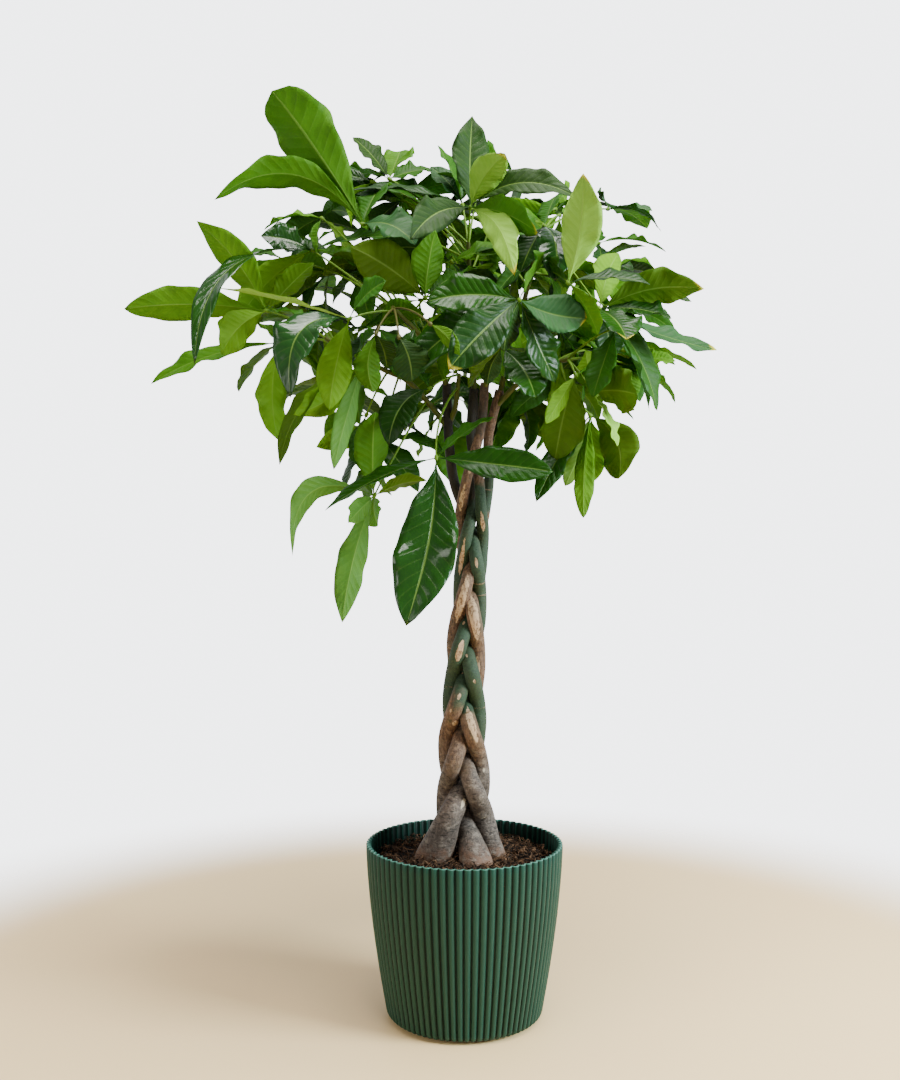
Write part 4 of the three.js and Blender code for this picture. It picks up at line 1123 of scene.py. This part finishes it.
green_shoot = Finish("green_shoot", 0.5, specular=0.15)
mottle = green_shoot.noise(green_shoot.place(), 60.0, 3.0)
sap = green_shoot.mix(mottle, colour(68, 106, 18), colour(102, 138, 34))
wood = green_shoot.mix(mottle, colour(40, 34, 18), colour(84, 60, 34))
green_shoot.set("Base Color", green_shoot.mix(green_shoot.stored("woody"), sap, wood))


def petiole_line(leaf, hub, start):
    """(place, radius) pairs from the shoot to a knuckle just past the hub."""
    rise = Vector((0, 0, PETIOLE_RISE * (hub - start).length))
    via = seen(leaf["via"]) if "via" in leaf else start.lerp(hub, 0.5) + rise
    line = []
    for i in range(PETIOLE_STEPS):
        t = i / PETIOLE_STEPS
        line.append((start * (1 - t) ** 2 + via * 2 * t * (1 - t) + hub * t ** 2,
                     PETIOLE_RADIUS - PETIOLE_TAPER * t))
    tail = (hub - via).normalized()
    return line + [(hub + tail * past, radius) for past, radius in KNUCKLE]


def leaflet_fields(leaf, hub, tip, share, width, face, arch, tone, marks):
    """What the recipe and the finish of the leaflets need to know of one leaflet."""
    normal, bulge = blade_frame(hub, tip, face)
    tip_power = 0.78 + 0.28 * next(taste)
    for mark in marks:
        tip_power = TIP_POWERS.get(mark, tip_power)
    widest = BASE_POWER / (BASE_POWER + tip_power)
    fullest = widest ** BASE_POWER * (1 - widest) ** tip_power
    shade, warmth, gloss = TONES[tone]
    return {
        "hub": hub * MM, "run": (tip - hub) * MM, "normal": normal,
        "bulge": bulge * arch * share * MM,
        "half": width * share * FULLER / 2 / fullest * MM,
        "wave": (0.07 + 0.13 * next(taste)) * (1 if "blades" in leaf else OTHER_WAVE),
        "phase": TURN * next(taste), "twist": 1.1 * (next(taste) - 0.5),
        "sway": (tip - hub).length * 0.12 * (next(taste) - 0.5) * MM, "tip_power": tip_power,
        "tone": shade + 0.08 * (next(taste) - 0.5), "warmth": warmth + 0.2 * (next(taste) - 0.5),
        "gloss": gloss, "tint": float(YELLOW_TIP in marks), "seed": next(taste)}


draw = drawer(CROWN_SEED)
taste = drawer(TASTE_SEED)
for name, (points, leaves) in SHOOTS.items():
    corners = KDTree(len(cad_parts[name].data.vertices))
    for index, corner in enumerate(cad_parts[name].data.vertices):
        corners.insert(corner.co, index)
    corners.balance()
    line = [seen(point) for point in points]
    steps = SHOOT_STEPS * (len(line) - 1)
    stalk = [(on_curve(line, i / steps), SHOOT_RADIUS * (1 - SHOOT_TAPER * i / steps))
             for i in range(steps + 1)]
    petioles = {}
    drawn_leaflets, other_leaflets = [], []
    for leaf in leaves:
        hub = seen(leaf["hub"])
        start = on_curve(line, leaf["at"] * SHOOT_REACH)
        woody = leaf.get("woody", PETIOLE_WOODY)
        petioles.setdefault(woody, []).append(petiole_line(leaf, hub, start))
        if "hanging" in leaf:
            blades = hanging_blades(leaf, hub)
        elif "spread" in leaf:
            blades = spread_blades(leaf, hub, start)
        else:
            blades = [(seen(row[:3]), *row[3:]) for row in leaf["blades"]]
        for tip, width, face, arch, tone, *marks in blades:
            share = 1.0
            if "hanging" not in leaf:
                # The solids draw these numbers for the leaflet's waves.
                for _ in range(4 if "spread" in leaf else 6 if width < WIDE_BLADE else 8):
                    next(draw)
                if FREE not in marks:
                    tip, share = settled_tip(hub, tip, corners)
                    tip = hub.lerp(tip, leaf.get("shown", 1))
            leaflets = drawn_leaflets if "blades" in leaf else other_leaflets
            leaflets.append(leaflet_fields(leaf, hub, tip, share, width, face, arch, tone, marks))
    parts = []
    for leaflets, (stations, across) in ((drawn_leaflets, DRAWN_GRID),
                                         (other_leaflets, OTHER_GRID)):
        if leaflets:
            fields = {field: [leaflet[field] for leaflet in leaflets] for field in leaflets[0]}
            source = points_mesh(name + "_hubs", fields["hub"], **fields)
            parts.append(blade.make(name + "_foliage", source, wax, Stations=stations,
                                    Across=across, **BLADE_SIZES))
    parts.append(rods(name + "_wood", [stalk], SHOOT_SIDES, green_shoot, SHOOT_WRINKLE,
                      SHOOT_WRINKLE_SCALE, woody=SHOOT_WOODY))
    for woody, lines in petioles.items():
        parts.append(rods(name + "_petioles", lines, PETIOLE_SIDES, green_shoot, woody=woody))
    foliage = parts[0]
    with bpy.context.temp_override(active_object=foliage, selected_editable_objects=parts):
        bpy.ops.object.join()
    settle(foliage, "leaf", name)


# Plain pale floor that fades into a pale surround, soft light from the right and from
# behind, and the camera.
FLOOR_REACH = 1.5
FLOOR_FADE = 0.85
floor_finish = Finish("plain_floor", 0.6)
floor_finish.surface.inputs["Base Color"].default_value = colour(238, 204, 148)
from_middle = floor_finish.vector("LENGTH", floor_finish.place(), out=1)
floor_finish.set("Alpha", floor_finish.step(from_middle, FLOOR_REACH - 0.1, FLOOR_FADE))
floor_mesh = bpy.data.meshes.new("floor")
floor_mesh.from_pydata([(x * FLOOR_REACH, y * FLOOR_REACH, 0)
                        for x, y in ((-1, -1), (1, -1), (1, 1), (-1, 1))], [], [(0, 1, 2, 3)])
floor_mesh.materials.append(floor_finish.material)
floor = bpy.data.objects.new("floor", floor_mesh)
scene.collection.objects.link(floor)

world = bpy.data.worlds.new("studio")
scene.world = world
world.use_nodes = True
surround = Graph(world.node_tree)
backdrop = world.node_tree.nodes["Background"]
backdrop.inputs["Color"].default_value = (0.95, 0.97, 1.0, 1.0)
heading = surround.node("ShaderNodeTexCoord")
rightwards, backwards, upwards = [surround.axis(heading, which) for which in range(3)]
glow = (surround.step(backwards + rightwards * 0.3, -0.3, 0.6) * 1.1 + 0.35) \
    * (1.0 - 0.6 * surround.step(upwards, 0.45, 0.8))
looked_at = surround.node("ShaderNodeLightPath")
strength = glow * (1.0 - looked_at) + looked_at * 4.5
world.node_tree.links.new(strength.socket, backdrop.inputs["Strength"])


def soft_light(name, place, target, size, power, shade):
    """A square lamp that faces its target."""
    lamp = bpy.data.lights.new(name, "AREA")
    lamp.color = shade
    lamp.size = size
    lamp.energy = power
    holder = bpy.data.objects.new(name, lamp)
    holder.location = place
    holder.rotation_euler = (Vector(target) - Vector(place)).to_track_quat("-Z", "Y").to_euler()
    scene.collection.objects.link(holder)


soft_light("window", (2.3, -1.0, 1.4), (0, 0, 0.6), 1.1, 200, (0.8, 0.93, 1.0))
soft_light("bounce_panel", (-2.2, -1.6, 1.0), (0, 0, 0.5), 1.4, 38, (1.0, 0.97, 0.92))
soft_light("ceiling_panel", (0.3, -0.5, 3.2), (0, 0, 0.8), 1.5, 155, (1.0, 0.98, 0.94))

FRAME_HEIGHT = 1080
FOCAL_PIXELS = 1176
HORIZON = 526
camera = bpy.data.cameras.new("camera")
camera.sensor_width = 36
camera.lens = FOCAL_PIXELS / FRAME_HEIGHT * camera.sensor_width
camera.shift_y = -(FRAME_HEIGHT / 2 - HORIZON) / FRAME_HEIGHT
viewer = bpy.data.objects.new("camera", camera)
viewer.location = EYE * MM
viewer.rotation_euler = (math.radians(90), 0, 0)
scene.collection.objects.link(viewer)
scene.camera = viewer
